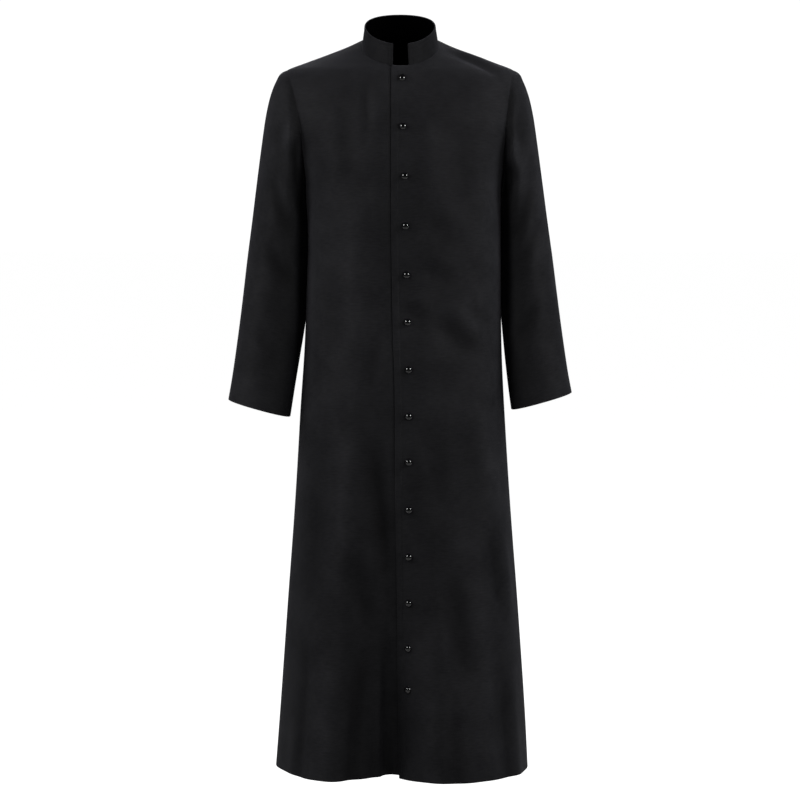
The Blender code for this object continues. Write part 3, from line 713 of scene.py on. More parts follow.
def wool(name, dark, light, bloom):
    """Black gabardine on the cloth's own map: twill ribs, yarn streaks, cloudiness."""
    material, nodes, links, shader = new_material(name)
    shader.inputs["Roughness"].default_value = 0.60
    shader.inputs["Specular IOR Level"].default_value = 1.5 * bloom
    shader.inputs["Sheen Weight"].default_value = bloom
    shader.inputs["Sheen Roughness"].default_value = 0.40
    shader.inputs["Sheen Tint"].default_value = (0.88, 0.88, 1.0, 1.0)

    place = nodes.new("ShaderNodeUVMap")
    place.uv_map = "cloth"
    lean = nodes.new("ShaderNodeMapping")
    lean.inputs["Rotation"].default_value = (0, 0, math.radians(27))
    links.new(place.outputs["UV"], lean.inputs["Vector"])
    twill = nodes.new("ShaderNodeTexWave")
    twill.bands_direction = "Y"
    twill.inputs["Scale"].default_value = 0.314 / TWILL_PITCH
    twill.inputs["Distortion"].default_value = 1.4
    twill.inputs["Detail"].default_value = 2.0
    twill.inputs["Detail Scale"].default_value = 2.0
    links.new(lean.outputs["Vector"], twill.inputs["Vector"])
    yarn = nodes.new("ShaderNodeTexNoise")
    yarn.inputs["Scale"].default_value = 900.0
    yarn.inputs["Detail"].default_value = 3.0
    links.new(place.outputs["UV"], yarn.inputs["Vector"])

    level = nodes.new("ShaderNodeMapping")
    level.inputs["Scale"].default_value = (70.0, 360.0, 1.0)
    links.new(place.outputs["UV"], level.inputs["Vector"])
    streak = nodes.new("ShaderNodeTexNoise")
    streak.inputs["Scale"].default_value = 1.0
    streak.inputs["Detail"].default_value = 3.0
    links.new(level.outputs["Vector"], streak.inputs["Vector"])
    solid = nodes.new("ShaderNodeTexCoord")
    cloud = nodes.new("ShaderNodeTexNoise")
    cloud.inputs["Scale"].default_value = 15.0
    cloud.inputs["Detail"].default_value = 6.0
    cloud.inputs["Roughness"].default_value = 0.62
    links.new(solid.outputs["Object"], cloud.inputs["Vector"])
    blend = nodes.new("ShaderNodeMix")
    blend.inputs[0].default_value = 0.45
    links.new(cloud.outputs["Fac"], blend.inputs[2])
    links.new(streak.outputs["Fac"], blend.inputs[3])
    shade = nodes.new("ShaderNodeValToRGB")
    shade.color_ramp.elements[0].position = 0.34
    shade.color_ramp.elements[0].color = (*dark, 1.0)
    shade.color_ramp.elements[1].position = 0.66
    shade.color_ramp.elements[1].color = (*light, 1.0)
    links.new(blend.outputs[0], shade.inputs["Fac"])
    ribbed = nodes.new("ShaderNodeMix")
    ribbed.data_type = "RGBA"
    ribbed.blend_type = "MULTIPLY"
    ribbed.inputs[0].default_value = 0.30
    links.new(shade.outputs["Color"], ribbed.inputs[6])
    links.new(twill.outputs["Color"], ribbed.inputs[7])
    # painted shade and highlight: the relief darkens the base colour in troughs and lightens
    # it on ridges
    stands_out = nodes.new("ShaderNodeAttribute")
    stands_out.attribute_name = "worn"
    relief_to_shade = nodes.new("ShaderNodeMapRange")
    relief_to_shade.inputs["From Min"].default_value = -SHADE_REACH
    relief_to_shade.inputs["From Max"].default_value = SHADE_REACH
    relief_to_shade.inputs["To Min"].default_value = 0.30
    relief_to_shade.inputs["To Max"].default_value = 1.70
    links.new(stands_out.outputs["Fac"], relief_to_shade.inputs["Value"])
    painted_shade = nodes.new("ShaderNodeMix")
    painted_shade.data_type = "RGBA"
    painted_shade.blend_type = "MULTIPLY"
    painted_shade.inputs[0].default_value = 1.0
    links.new(ribbed.outputs[2], painted_shade.inputs[6])
    links.new(relief_to_shade.outputs["Result"], painted_shade.inputs[7])
    links.new(painted_shade.outputs[2], shader.inputs["Base Color"])

    weave = nodes.new("ShaderNodeMath")
    weave.operation = "MULTIPLY_ADD"
    weave.inputs[1].default_value = 0.5
    links.new(yarn.outputs["Fac"], weave.inputs[0])
    links.new(twill.outputs["Fac"], weave.inputs[2])
    bump = nodes.new("ShaderNodeBump")
    bump.inputs["Strength"].default_value = 0.35
    bump.inputs["Distance"].default_value = 0.00025
    links.new(weave.outputs["Value"], bump.inputs["Height"])
    links.new(bump.outputs["Normal"], shader.inputs["Normal"])
    return material


gabardine = wool("wool_gabardine", WOOL, WOOL_WORN, 0.060)
# painted shade: a near-black copy of the wool for the inside faces, where the garment lies in
# shade
inside_shade = wool("wool_wrong_side", WOOL_INSIDE_SHADE, WOOL_INSIDE_SHADE, 0.0)


def sew_in(piece, *nodes, slot="cloth"):
    """Give a finished piece its body and hide the parts it stands for; slot is not used."""
    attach(piece, "root")
    if nodes:
        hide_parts(*nodes)
    return piece


upper_front = sew_in(front_left(), "front_left")
under_front = sew_in(front_right(), "front_right")


# ==== The back ====================================================================
# One panel from the neckline to the hem, joined to the fronts at the shoulders and
# down both sides. It falls in soft flutes from the shoulder blades and the seat.
BACK_CREASES = (
    (-0.150, -0.075, -0.050, -0.120, 0.006, 0.018, -0.0024, 0.4),
    (0.060, -0.060, 0.165, -0.085, -0.006, 0.016, -0.0026, 0.5),
    (-0.120, -0.180, -0.098, -0.420, 0.008, 0.026, -0.0026, 0.3),
    (0.105, -0.160, 0.082, -0.400, -0.006, 0.026, -0.0030, 0.4),
    (0.000, -0.220, 0.006, -0.480, 0.004, 0.026, 0.0022, 0.0),
    (-0.170, -0.500, -0.040, -0.560, 0.014, 0.020, -0.0032, 0.5),
    (0.035, -0.540, 0.165, -0.490, -0.014, 0.022, -0.0030, 0.4),
    (-0.075, -0.600, -0.090, -0.960, 0.006, 0.026, 0.0034, 0.0),
    (0.058, -0.620, 0.070, -1.020, -0.006, 0.028, -0.0042, 0.4),
    (0.140, -0.660, 0.160, -1.060, 0.006, 0.024, 0.0034, 0.0),
    (-0.150, -0.760, -0.172, -1.120, 0.006, 0.024, -0.0036, 0.4),
    (-0.020, -0.880, -0.030, -1.440, 0.006, 0.024, -0.0052, 0.3),
    (0.110, -0.960, 0.128, -1.440, -0.006, 0.024, -0.0055, 0.4),
    (-0.110, -1.040, -0.124, -1.440, 0.004, 0.022, 0.0046, 0.0),
    (0.186, -1.020, 0.204, -1.440, 0.004, 0.020, -0.0040, 0.3),
    (-0.196, -1.120, -0.212, -1.440, -0.004, 0.018, 0.0036, 0.0),
)


def back():
    """Both halves of the back's grid, joined on the centre line up to the neckline."""
    halves = []
    for side in (1, -1):
        angle, height = panel_places(side, True, None, side * math.pi)
        base, normals, relief, worn = hung_panel(angle, height, BACK_CREASES, True, 5)
        points = base + normals * relief[..., None]
        points[:, -1, 1] += 0.5 * SEAM_GAP
        points[-1, :, 1] += 0.5 * SEAM_GAP
        if side > 0:
            points = points[:, ::-1]
            worn = worn[:, ::-1]
        faces_out = grid_normals(points)
        faces_out[:, 0 if side > 0 else -1, 1] = 0.0
        faces_out[-1, :, 1] = 0.0
        halves.append((points, faces_out, worn))
    (left, left_out, left_shade_relief), (right, right_out, right_shade_relief) = halves
    neck_row = LOWER_ROWS + EDGE_ROWS
    middle = left_out[:neck_row + 1, -1] + right_out[:neck_row + 1, 0]
    left_out[:neck_row + 1, -1] = middle
    right_out[:neck_row + 1, 0] = middle
    points = np.concatenate((left, right), axis=1)
    faces_out = unit(np.concatenate((left_out, right_out), axis=1))
    hem = run_lengths(points, 0) < HEM_TURNING
    return cloth_shell("back_cloth", points, faces_out, np.where(hem, 1.5 * CLOTH, CLOTH),
                       np.concatenate((left_shade_relief, right_shade_relief), axis=1),
                       slit=(left.shape[1] - 1, neck_row))


back_piece = sew_in(back(), "back")


# ==== The sleeves =================================================================
# Two tubes of the same wool, set into the armholes with a little fullness over the
# head. They hang beside the body and break softly at the elbow.
SLEEVE_COLUMNS = ("step", "outer_x", "outer_z", "inner_z", "inner_right", "inner_left",
                  "front", "back", "middle_y")
SLEEVE_SECTIONS = (
    (0.2210, -0.0605, -0.2840, 0.1843, 0.1987, 0.064, 0.066, 0.000),
    (0.2300, -0.0680, -0.2920, 0.1858, 0.2002, 0.072, 0.072, 0.004),
    (0.2400, -0.0825, -0.3020, 0.1852, 0.1996, 0.080, 0.079, 0.010),
    (0.2508, -0.1090, -0.3140, 0.1836, 0.1980, 0.084, 0.083, 0.017),
    (0.2605, -0.1490, -0.3300, 0.1812, 0.1967, 0.086, 0.085, 0.024),
    (0.2685, -0.2000, -0.3520, 0.1792, 0.1957, 0.085, 0.084, 0.030),
    (0.2784, -0.2723, -0.3880, 0.1776, 0.1946, 0.081, 0.081, 0.033),
    (0.2882, -0.3500, -0.4320, 0.1776, 0.1945, 0.075, 0.076, 0.032),
    (0.2983, -0.4278, -0.4840, 0.1800, 0.1956, 0.069, 0.071, 0.026),
    (0.3075, -0.5059, -0.5450, 0.1844, 0.1980, 0.063, 0.065, 0.015),
    (0.3175, -0.5841, -0.6150, 0.1950, 0.2036, 0.058, 0.059, 0.003),
    (0.3287, -0.6625, -0.6920, 0.2080, 0.2115, 0.053, 0.053, -0.009),
    (0.3347, -0.6979, -0.7313, 0.2144, 0.2162, 0.050, 0.050, -0.016),
)
SLEEVE_SQUARENESS = 2.2
LEFT_CUFF_RISE = 0.014   # the wearer's left sleeve sits a little higher
HEAD_SHARE = 5 / 18      # how far down the head keeps the armhole's shape
SLEEVE_ROWS = 185
ARMHOLE_ALLOWANCE = 0.004
HEAD_FULLNESS = 0.0016   # how far the head stands out above the armhole's seam
HEAD_FULL_AT = 0.014     # how far from the seam it stands out most
HEAD_FULL_REACH = 0.010
HEAD_CALM = 0.025        # creases and swells die away this near the armhole
SLEEVE_SWELL = 0.0009
SLEEVE_CREASE_FADE = 0.4
INNER_X = 0.192          # the inner arm, beside the body, where creases are held back
INNER_LEAN = 0.0065      # both arms lie this much to the wearer's left, as the body does
INNER_RUN = 0.020        # over this width creases gain their full depth
INNER_RIDGE = 0.0012     # the highest ridge that has room beside the body
RIDGE_GAIN = 0.010
# Fullness under the arm, left and right: where it lies front to back, how far below
# the armhole, and how much.
UNDER_ARM = {1: ((0.038, 0.019, 0.0054), (-0.030, 0.024, 0.0033)),
             -1: ((0.040, 0.019, 0.0044), (-0.030, 0.024, 0.0028))}
UNDER_ARM_WIDTH = 0.022
UNDER_ARM_HEIGHT = 0.019
SLEEVE_AROUND = 2 * UPPER_ROWS

sleeve_at = smooth_table(
    [(index / (len(SLEEVE_SECTIONS) - 1),) + row for index, row in enumerate(SLEEVE_SECTIONS)],
    SLEEVE_COLUMNS)

# Creases on a sleeve: from and to are shares along it and degrees round it, where 0
# is the outer arm, 90 the front, 180 the inner arm and 270 the back.
SLEEVE_CREASE_COLUMNS = ("from_share", "from_round", "to_share", "to_round",
                         "width", "depth", "lip")
LEFT_SLEEVE_CREASES = (
    (0.10, 82, 0.32, 112, 0.011, 0.0040, 0.0),
    (0.05, 112, 0.30, 150, 0.012, -0.0078, 0.5),
    (0.14, 60, 0.36, 84, 0.018, -0.0026, 0.3),
    (0.18, 100, 0.40, 136, 0.013, -0.0046, 0.5),
    (0.46, 60, 0.58, 125, 0.014, -0.0034, 0.5),
    (0.55, 50, 0.66, 120, 0.014, -0.0030, 0.5),
    (0.72, 70, 0.84, 130, 0.014, -0.0026, 0.4),
    (0.12, 250, 0.36, 215, 0.014, -0.0040, 0.5),
    (0.42, 300, 0.52, 230, 0.016, -0.0040, 0.5),
    (0.50, 310, 0.62, 236, 0.015, -0.0034, 0.5),
    (0.70, 290, 0.82, 230, 0.014, -0.0022, 0.4),
)
RIGHT_SLEEVE_CREASES = (
    (0.06, 96, 0.26, 136, 0.011, -0.0080, 0.5),
    (0.07, 74, 0.26, 96, 0.011, 0.0044, 0.0),
    (0.10, 124, 0.52, 142, 0.014, -0.0062, 0.3),
    (0.22, 56, 0.44, 92, 0.018, -0.0026, 0.3),
    (0.44, 55, 0.56, 120, 0.014, -0.0034, 0.5),
    (0.60, 60, 0.70, 128, 0.015, -0.0030, 0.5),
    (0.78, 60, 0.88, 120, 0.014, -0.0022, 0.4),
    (0.10, 262, 0.34, 222, 0.014, -0.0042, 0.5),
    (0.40, 305, 0.52, 236, 0.016, -0.0038, 0.5),
    (0.55, 300, 0.66, 230, 0.015, -0.0034, 0.5),
    (0.74, 300, 0.86, 236, 0.014, -0.0020, 0.4),
)


def sleeve_points(side, share, turn):
    """Points of a sleeve before it creases: share along it, turn round it."""
    section = sleeve_at(share)
    rise = LEFT_CUFF_RISE * np.clip(2 * share - 1, 0, None) if side > 0 else 0 * share
    inner_x = section["inner_left" if side > 0 else "inner_right"]
    zero = np.zeros_like(share)
    outer = np.stack((side * section["outer_x"], zero, section["outer_z"] + rise), axis=-1)
    inner = np.stack((side * inner_x, zero, section["inner_z"] + rise), axis=-1)
    power = 2 / SLEEVE_SQUARENESS
    across = np.sign(np.cos(turn)) * np.abs(np.cos(turn)) ** power
    around = np.abs(np.sin(turn)) ** power
    points = 0.5 * (outer + inner) + 0.5 * across[..., None] * (outer - inner)
    depth = np.where(np.sin(turn) >= 0, -section["front"], section["back"])
    points[..., 1] = section["middle_y"] + depth * around
    return points


def armhole_ring(side):
    """The armhole, from the shoulder tip down the front and up the back.

    The second ring is the sleeve's seam allowance, which lies inside the panels.
    """
    step = np.arange(SLEEVE_AROUND)
    fraction = np.abs(step - UPPER_ROWS) / UPPER_ROWS
    front = body_point(*armhole_place(side, fraction, False))
    rear = body_point(*armhole_place(side, fraction, True))
    at_rear = (step > UPPER_ROWS)[:, None]
    ring = np.where(at_rear, rear, front)
    out = np.where(at_rear, body_normal(*armhole_place(side, fraction, True)),
                   body_normal(*armhole_place(side, fraction, False)))
    edge = np.roll(ring, -1, axis=0) - np.roll(ring, 1, axis=0)
    under = side * unit(np.cross(edge, out))
    tuck = ring + under * ARMHOLE_ALLOWANCE - out * (CLOTH + 2 * SEAM_GAP)
    return ring + np.array((side * 1.2 * SEAM_GAP, 0, 0)), tuck


def sleeve(name, side, creases, seed):
    """One sleeve, from its armhole to its turned cuff."""
    rows = np.linspace(0, 1, SLEEVE_ROWS)
    rows = np.sort(np.concatenate((rows, (0.0012, 0.0028, 0.996, 0.998))))
    turns = 2 * math.pi * np.arange(SLEEVE_AROUND) / SLEEVE_AROUND
    share, turn = np.meshgrid(rows, turns, indexing="ij")
    free = ease(share / HEAD_SHARE)
    ring, tuck = armhole_ring(side)
    head = ring - sleeve_points(side, np.zeros(SLEEVE_AROUND), turns)
    base = sleeve_points(side, share, turn) + (1 - free)[..., None] * head[None]
    if side > 0:
        base = base[:, ::-1]
        tuck = tuck[::-1]
    down = base[::-1]
    normals = grid_normals(down, wraps=True)[::-1]

    def line_of(row):
        step = np.linspace(0, 1, 11)
        along = row["from_share"] + (row["to_share"] - row["from_share"]) * step
        spin = np.radians(row["from_round"] + (row["to_round"] - row["from_round"]) * step)
        shrink = ease(along / HEAD_SHARE)
        spots = np.round(spin / (2 * math.pi) * SLEEVE_AROUND).astype(int) % SLEEVE_AROUND
        return sleeve_points(side, along, spin) + (1 - shrink)[:, None] * head[spots]

    relief = np.zeros(base.shape[:-1])
    for values in creases:
        row = dict(zip(SLEEVE_CREASE_COLUMNS, values))
        distance, lip_side, place = along_line(base, normals, line_of(row))
        fade = np.minimum(place, 1 - place) / SLEEVE_CREASE_FADE
        relief += one_crease(row, distance, lip_side, fade)
    from_head = run_lengths(base, 0)
    settle = np.clip(from_head / HEAD_CALM, 0, 1)
    # the material paints shade in troughs and highlight on ridges from this relief
    worn = (relief + unevenness(base, SLEEVE_SWELL, seed)) * settle
    relief = worn + seam_roll(from_head)
    fullness = HEAD_FULLNESS * np.exp(-((from_head - HEAD_FULL_AT) / HEAD_FULL_REACH) ** 2)
    relief += fullness * np.clip(base[..., 2] + 0.20, 0, 0.08) / 0.08
    away = np.clip((side * (base[..., 0] - INNER_LEAN) - INNER_X) / INNER_RUN, 0, 1)
    relief = np.where(relief < 0, relief * away,
                      np.minimum(relief, INNER_RIDGE + RIDGE_GAIN * away))
    for at_y, below, fullness in UNDER_ARM[side]:
        under_arm = np.exp(-((base[..., 1] - at_y) / UNDER_ARM_WIDTH) ** 2
                           - ((from_head - below) / UNDER_ARM_HEIGHT) ** 2)
        relief += fullness * (1 - away) * under_arm * (base[..., 2] < -0.2)
    points = np.concatenate((tuck[None], base + normals * relief[..., None]))
    worn = np.concatenate((worn[:1], worn))
    faces_out = grid_normals(points[::-1], wraps=True)[::-1]
    cuff = run_lengths(points[::-1], 0)[::-1] < HEM_TURNING
    wall = np.where(cuff, 1.5 * CLOTH, CLOTH)
    return cloth_shell(name, points[::-1], faces_out[::-1], wall[::-1], worn[::-1],
                       wraps=True)


left_sleeve = sew_in(sleeve("left_sleeve_cloth", 1, LEFT_SLEEVE_CREASES, 11), "sleeve_left")
right_sleeve = sew_in(sleeve("right_sleeve_cloth", -1, RIGHT_SLEEVE_CREASES, 12),
                      "sleeve_right")


# ==== The collar ==================================================================
# A stand collar of two layers of wool over a stiffening, 4 cm high, stitched to the
# neckline. Its ends stop short of each other in a square notch at the throat.
COLLAR_WALL = 0.0026
RIM_HALF_WIDTH = 0.0687
RIM_HALF_DEPTH = 0.0662
RIM_MIDDLE_Y = -0.0105
RIM_SIDE_Z = 0.0285
RIM_SLOPE = 0.43
RIM_CURVE = -1.43
COLLAR_END_RIM = (-0.0143, 0.0159)    # where the rim's two ends are, along X
COLLAR_COLUMNS = 190
COLLAR_ROWS = 20
COLLAR_STITCH = 0.0062   # edge stitching, from the ends and the rim
COLLAR_TUCK = 0.0012     # the band is sewn down over the neckline by this much
COLLAR_SHADE_DEPTH = 0.0030 # painted shade: the band's colour is darkened as much as a trough this deep
COLLAR_EDGE_SWELL = 0.0003
COLLAR_EDGE_STEP = 0.0014
COLLAR_GROOVE = 0.0004
COLLAR_GROOVE_REACH = 0.0011
COLLAR_SWELL = 0.0003


def collar():
    """The band: columns run from the wearer's right end round the back to the left."""
    ends = [math.asin(under_x(np.array(-0.050)) / NECK_HALF_WIDTH),
            math.asin(edge_x(np.array(-0.050)) / NECK_HALF_WIDTH) + 2 * math.pi]
    rim_ends = [math.asin(COLLAR_END_RIM[1] / RIM_HALF_WIDTH),
                math.asin(COLLAR_END_RIM[0] / RIM_HALF_WIDTH) + 2 * math.pi]
    share = np.linspace(0, 1, COLLAR_COLUMNS)
    close = np.array((0.0025, 0.006, 0.011, 0.016, 0.020))
    share = np.sort(np.concatenate((share, close, 1 - close)))
    turn = ends[0] + (ends[1] - ends[0]) * share
    rim_turn = rim_ends[0] + (rim_ends[1] - rim_ends[0]) * share
    foot = body_point(*neckline_place(np.remainder(turn + math.pi, 2 * math.pi) - math.pi))
    foot[:, 2] -= COLLAR_TUCK
    rim_y = RIM_MIDDLE_Y - RIM_HALF_DEPTH * np.cos(rim_turn)
    rim = np.stack((RIM_HALF_WIDTH * np.sin(rim_turn), rim_y,
                    RIM_SIDE_Z + RIM_SLOPE * rim_y + RIM_CURVE * rim_y ** 2), axis=-1)
    rise = np.linspace(0, 1, COLLAR_ROWS + 1)[:, None, None]
    base = foot[None] * (1 - rise) + rim[None] * rise
    normals = grid_normals(base)
    from_foot = run_lengths(base, 0)
    to_rim = run_lengths(base[::-1], 0)[::-1]
    from_end = run_lengths(base, 1)
    to_end = run_lengths(base[:, ::-1], 1)[:, ::-1]
    edge = np.minimum(np.minimum(from_end, to_end), to_rim)
    from_stitch = COLLAR_STITCH - edge
    relief = COLLAR_EDGE_SWELL * np.clip(from_stitch / COLLAR_EDGE_STEP + 0.5, 0, 1)
    relief -= COLLAR_GROOVE * np.exp(-(from_stitch / COLLAR_GROOVE_REACH) ** 2)
    relief += seam_roll(from_foot) * 0.4 + unevenness(base, COLLAR_SWELL, 21)
    points = base + normals * relief[..., None]
    band = cloth_shell("collar_band", points, grid_normals(points), COLLAR_WALL,
                       np.full(points.shape[:2], -COLLAR_SHADE_DEPTH), shaded_foot=True)
    return band, base, normals


collar_piece, collar_base, collar_normals = collar()
sew_in(collar_piece, "collar")


# ==== The buttons =================================================================
# Fourteen domed buttons of polished black plastic, sewn on through a shank behind.
# They run down the lap from the throat to the shin.
BUTTON_HEIGHTS = (-0.0760, -0.1682, -0.2625, -0.3579, -0.4515, -0.5417, -0.6327,
                  -0.7218, -0.8096, -0.9017, -0.9929, -1.0825, -1.1708, -1.2519)
BUTTON_PROFILE = ((0.0, 0.0062), (0.0022, 0.0061), (0.0042, 0.00545), (0.0058, 0.0043),
                  (0.0069, 0.0029), (0.0074, 0.0019), (0.0076, 0.0013), (0.00755, 0.0008),
                  (0.0072, 0.0005), (0.0066, 0.0002), (0.0064, 0.0), (0.0, 0.0))
BUTTON_SIDES = 40


def button_places():
    """Where each button sits on the lap, and which way it faces."""
    height = np.array(BUTTON_HEIGHTS)
    angle = angle_at_x(front_line_at(height)["button_x"], height)
    normal = body_normal(angle, height)
    return body_point(angle, height) + normal * SEAM_GAP, normal


def turned_button():
    """One button: its profile turned once round."""
    bm = bmesh.new()
    verts = [bm.verts.new((radius, 0.0, rise)) for radius, rise in BUTTON_PROFILE]
    edges = [bm.edges.new(pair) for pair in zip(verts[:-1], verts[1:])]
    bmesh.ops.spin(bm, geom=verts + edges, cent=(0, 0, 0), axis=(0, 0, 1),
                   angle=2 * math.pi, steps=BUTTON_SIDES, use_merge=True)
    bmesh.ops.remove_doubles(bm, verts=bm.verts, dist=1e-6)
    bmesh.ops.recalc_face_normals(bm, faces=bm.faces)
    mesh = bpy.data.meshes.new("turned_button")
    bm.to_mesh(mesh)
    bm.free()
    mesh.shade_smooth()
    obj = bpy.data.objects.new("turned_button", mesh)
    bpy.context.scene.collection.objects.link(obj)
    return obj


def polished_black():
    """Polished black plastic, with the faintest haze of handling."""
    material, nodes, links, shader = new_material("polished_black_plastic")
    shader.inputs["Base Color"].default_value = (0.0010, 0.0010, 0.0012, 1.0)
    shader.inputs["Specular IOR Level"].default_value = 0.8
    shader.inputs["Coat Weight"].default_value = 1.0
    shader.inputs["Coat Roughness"].default_value = 0.03
    solid = nodes.new("ShaderNodeTexCoord")
    haze = nodes.new("ShaderNodeTexNoise")
    haze.inputs["Scale"].default_value = 260.0
    haze.inputs["Detail"].default_value = 4.0
    links.new(solid.outputs["Object"], haze.inputs["Vector"])
    gloss = nodes.new("ShaderNodeMapRange")
    gloss.inputs["To Min"].default_value = 0.06
    gloss.inputs["To Max"].default_value = 0.14
    links.new(haze.outputs["Fac"], gloss.inputs["Value"])
    links.new(gloss.outputs["Result"], shader.inputs["Roughness"])
    return material


def node_input(tree, name, kind, default=None):
    """A named input of a geometry tree."""
    socket = tree.interface.new_socket(name, in_out="INPUT", socket_type=kind)
    if default is not None:
        socket.default_value = default
    return socket.identifier


def new_tree(name):
    """An empty geometry tree with its two ends."""
    tree = bpy.data.node_groups.new(name, "GeometryNodeTree")
    tree.interface.new_socket("Geometry", in_out="INPUT", socket_type="NodeSocketGeometry")
    tree.interface.new_socket("Geometry", in_out="OUTPUT", socket_type="NodeSocketGeometry")
    return tree, tree.nodes.new("NodeGroupInput"), tree.nodes.new("NodeGroupOutput")


def sewn_points(name, points, facing, edges=()):
    """A mesh of bare points that carry the way the cloth faces."""
    mesh = bpy.data.meshes.new(name)
    mesh.from_pydata(np.asarray(points).tolist(), list(edges), [])
    attribute = mesh.attributes.new("facing", "FLOAT_VECTOR", "POINT")
    attribute.data.foreach_set("vector", np.asarray(facing, np.float32).ravel())
    obj = bpy.data.objects.new(name, mesh)
    bpy.context.scene.collection.objects.link(obj)
    return obj


def run_tree(obj, tree, values):
    """Run a geometry tree on an object and keep its result as a plain mesh."""
    modifier = obj.modifiers.new("laid", "NODES")
    modifier.node_group = tree
    for identifier, value in values.items():
        modifier[identifier] = value
    evaluated = obj.evaluated_get(bpy.context.evaluated_depsgraph_get())
    mesh = bpy.data.meshes.new_from_object(evaluated)
    obj.modifiers.clear()
    obj.data = mesh
    mesh.name = obj.name
    return obj


def button_row_tree():
    """Puts a button on each point, square to the cloth."""
    tree, start, end = new_tree("button_row")
    shape = node_input(tree, "Button", "NodeSocketObject")
    finish = node_input(tree, "Finish", "NodeSocketMaterial")
    info = tree.nodes.new("GeometryNodeObjectInfo")
    info.inputs["As Instance"].default_value = True
    facing = tree.nodes.new("GeometryNodeInputNamedAttribute")
    facing.data_type = "FLOAT_VECTOR"
    facing.inputs["Name"].default_value = "facing"
    square = tree.nodes.new("FunctionNodeAlignRotationToVector")
    square.axis = "Z"
    place = tree.nodes.new("GeometryNodeInstanceOnPoints")
    real = tree.nodes.new("GeometryNodeRealizeInstances")
    paint = tree.nodes.new("GeometryNodeSetMaterial")
    link = tree.links.new
    link(start.outputs["Button"], info.inputs["Object"])
    link(start.outputs["Geometry"], place.inputs["Points"])
    link(info.outputs["Geometry"], place.inputs["Instance"])
    link(facing.outputs["Attribute"], square.inputs["Vector"])
    link(square.outputs["Rotation"], place.inputs["Rotation"])
    link(place.outputs["Instances"], real.inputs["Geometry"])
    link(real.outputs["Geometry"], paint.inputs["Geometry"])
    link(start.outputs["Finish"], paint.inputs["Material"])
    link(paint.outputs["Geometry"], end.inputs["Geometry"])
    return tree, shape, finish


button_spots, button_facing = button_places()
button_spots = button_spots + button_facing * EDGE_SWELL * 0.2
pattern_button = turned_button()
black_plastic = polished_black()
row_tree, row_shape, row_finish = button_row_tree()
button_row = run_tree(sewn_points("buttons", button_spots, button_facing), row_tree,
                      {row_shape: pattern_button, row_finish: black_plastic})
bpy.data.objects.remove(pattern_button, do_unlink=True)
sew_in(button_row,
       *[f"button_{index + 1:02d}" for index in range(len(BUTTON_HEIGHTS))], slot="button")


# ==== The topstitching ============================================================
# Black thread in short, even stitches: down the turned edge of the upper front, and
# round the ends and the rim of the collar.
STITCH_PITCH = 0.0028
STITCH_LENGTH = 0.0021
STITCH_THICK = 0.00062
STITCH_SINK = 0.00012    # how far the middle of a stitch lies in the cloth
FRONT_STITCH_TOP = -0.073


def stitch_tree():
    """Lays plump stitches end to end along a line of points."""
    tree, start, end = new_tree("stitches")
    pitch = node_input(tree, "Pitch", "NodeSocketFloat", STITCH_PITCH)
    length = node_input(tree, "Length", "NodeSocketFloat", STITCH_LENGTH)
    thick = node_input(tree, "Thickness", "NodeSocketFloat", STITCH_THICK)
    thread = node_input(tree, "Thread", "NodeSocketMaterial")
    curve = tree.nodes.new("GeometryNodeMeshToCurve")
    even = tree.nodes.new("GeometryNodeResampleCurve")
    even.mode = "LENGTH"
    tangent = tree.nodes.new("GeometryNodeInputTangent")
    lie = tree.nodes.new("FunctionNodeAlignRotationToVector")
    lie.axis = "Z"
    bead = tree.nodes.new("GeometryNodeMeshUVSphere")
    bead.inputs["Segments"].default_value = 6
    bead.inputs["Rings"].default_value = 5
    bead.inputs["Radius"].default_value = 0.5
    shape = tree.nodes.new("ShaderNodeCombineXYZ")
    place = tree.nodes.new("GeometryNodeInstanceOnPoints")
    real = tree.nodes.new("GeometryNodeRealizeInstances")
    smooth = tree.nodes.new("GeometryNodeSetShadeSmooth")
    paint = tree.nodes.new("GeometryNodeSetMaterial")
    link = tree.links.new
    link(start.outputs["Geometry"], curve.inputs["Mesh"])
    link(curve.outputs["Curve"], even.inputs["Curve"])
    link(start.outputs["Pitch"], even.inputs["Length"])
    link(even.outputs["Curve"], place.inputs["Points"])
    link(tangent.outputs["Tangent"], lie.inputs["Vector"])
    link(lie.outputs["Rotation"], place.inputs["Rotation"])
    link(bead.outputs["Mesh"], place.inputs["Instance"])
    link(start.outputs["Thickness"], shape.inputs["X"])
    link(start.outputs["Thickness"], shape.inputs["Y"])
    link(start.outputs["Length"], shape.inputs["Z"])
    link(shape.outputs["Vector"], place.inputs["Scale"])
    link(place.outputs["Instances"], real.inputs["Geometry"])
    link(real.outputs["Geometry"], smooth.inputs["Geometry"])
    link(smooth.outputs["Geometry"], paint.inputs["Geometry"])
    link(start.outputs["Thread"], paint.inputs["Material"])
    link(paint.outputs["Geometry"], end.inputs["Geometry"])
    return tree, {pitch: STITCH_PITCH, length: STITCH_LENGTH, thick: STITCH_THICK}, thread


def thread_black():
    """Black thread, as dull as the wool."""
    material, nodes, links, shader = new_material("black_thread")
    shader.inputs["Roughness"].default_value = 0.60
    shader.inputs["Specular IOR Level"].default_value = 0.15
    solid = nodes.new("ShaderNodeTexCoord")
    twist = nodes.new("ShaderNodeTexNoise")
    twist.inputs["Scale"].default_value = 1500.0
    shade = nodes.new("ShaderNodeValToRGB")
    shade.color_ramp.elements[0].color = (0.0060, 0.0060, 0.0068, 1.0)
    shade.color_ramp.elements[1].color = (0.0120, 0.0120, 0.0132, 1.0)
    links.new(solid.outputs["Object"], twist.inputs["Vector"])
    links.new(twist.outputs["Fac"], shade.inputs["Fac"])
    links.new(shade.outputs["Color"], shader.inputs["Base Color"])
    return material


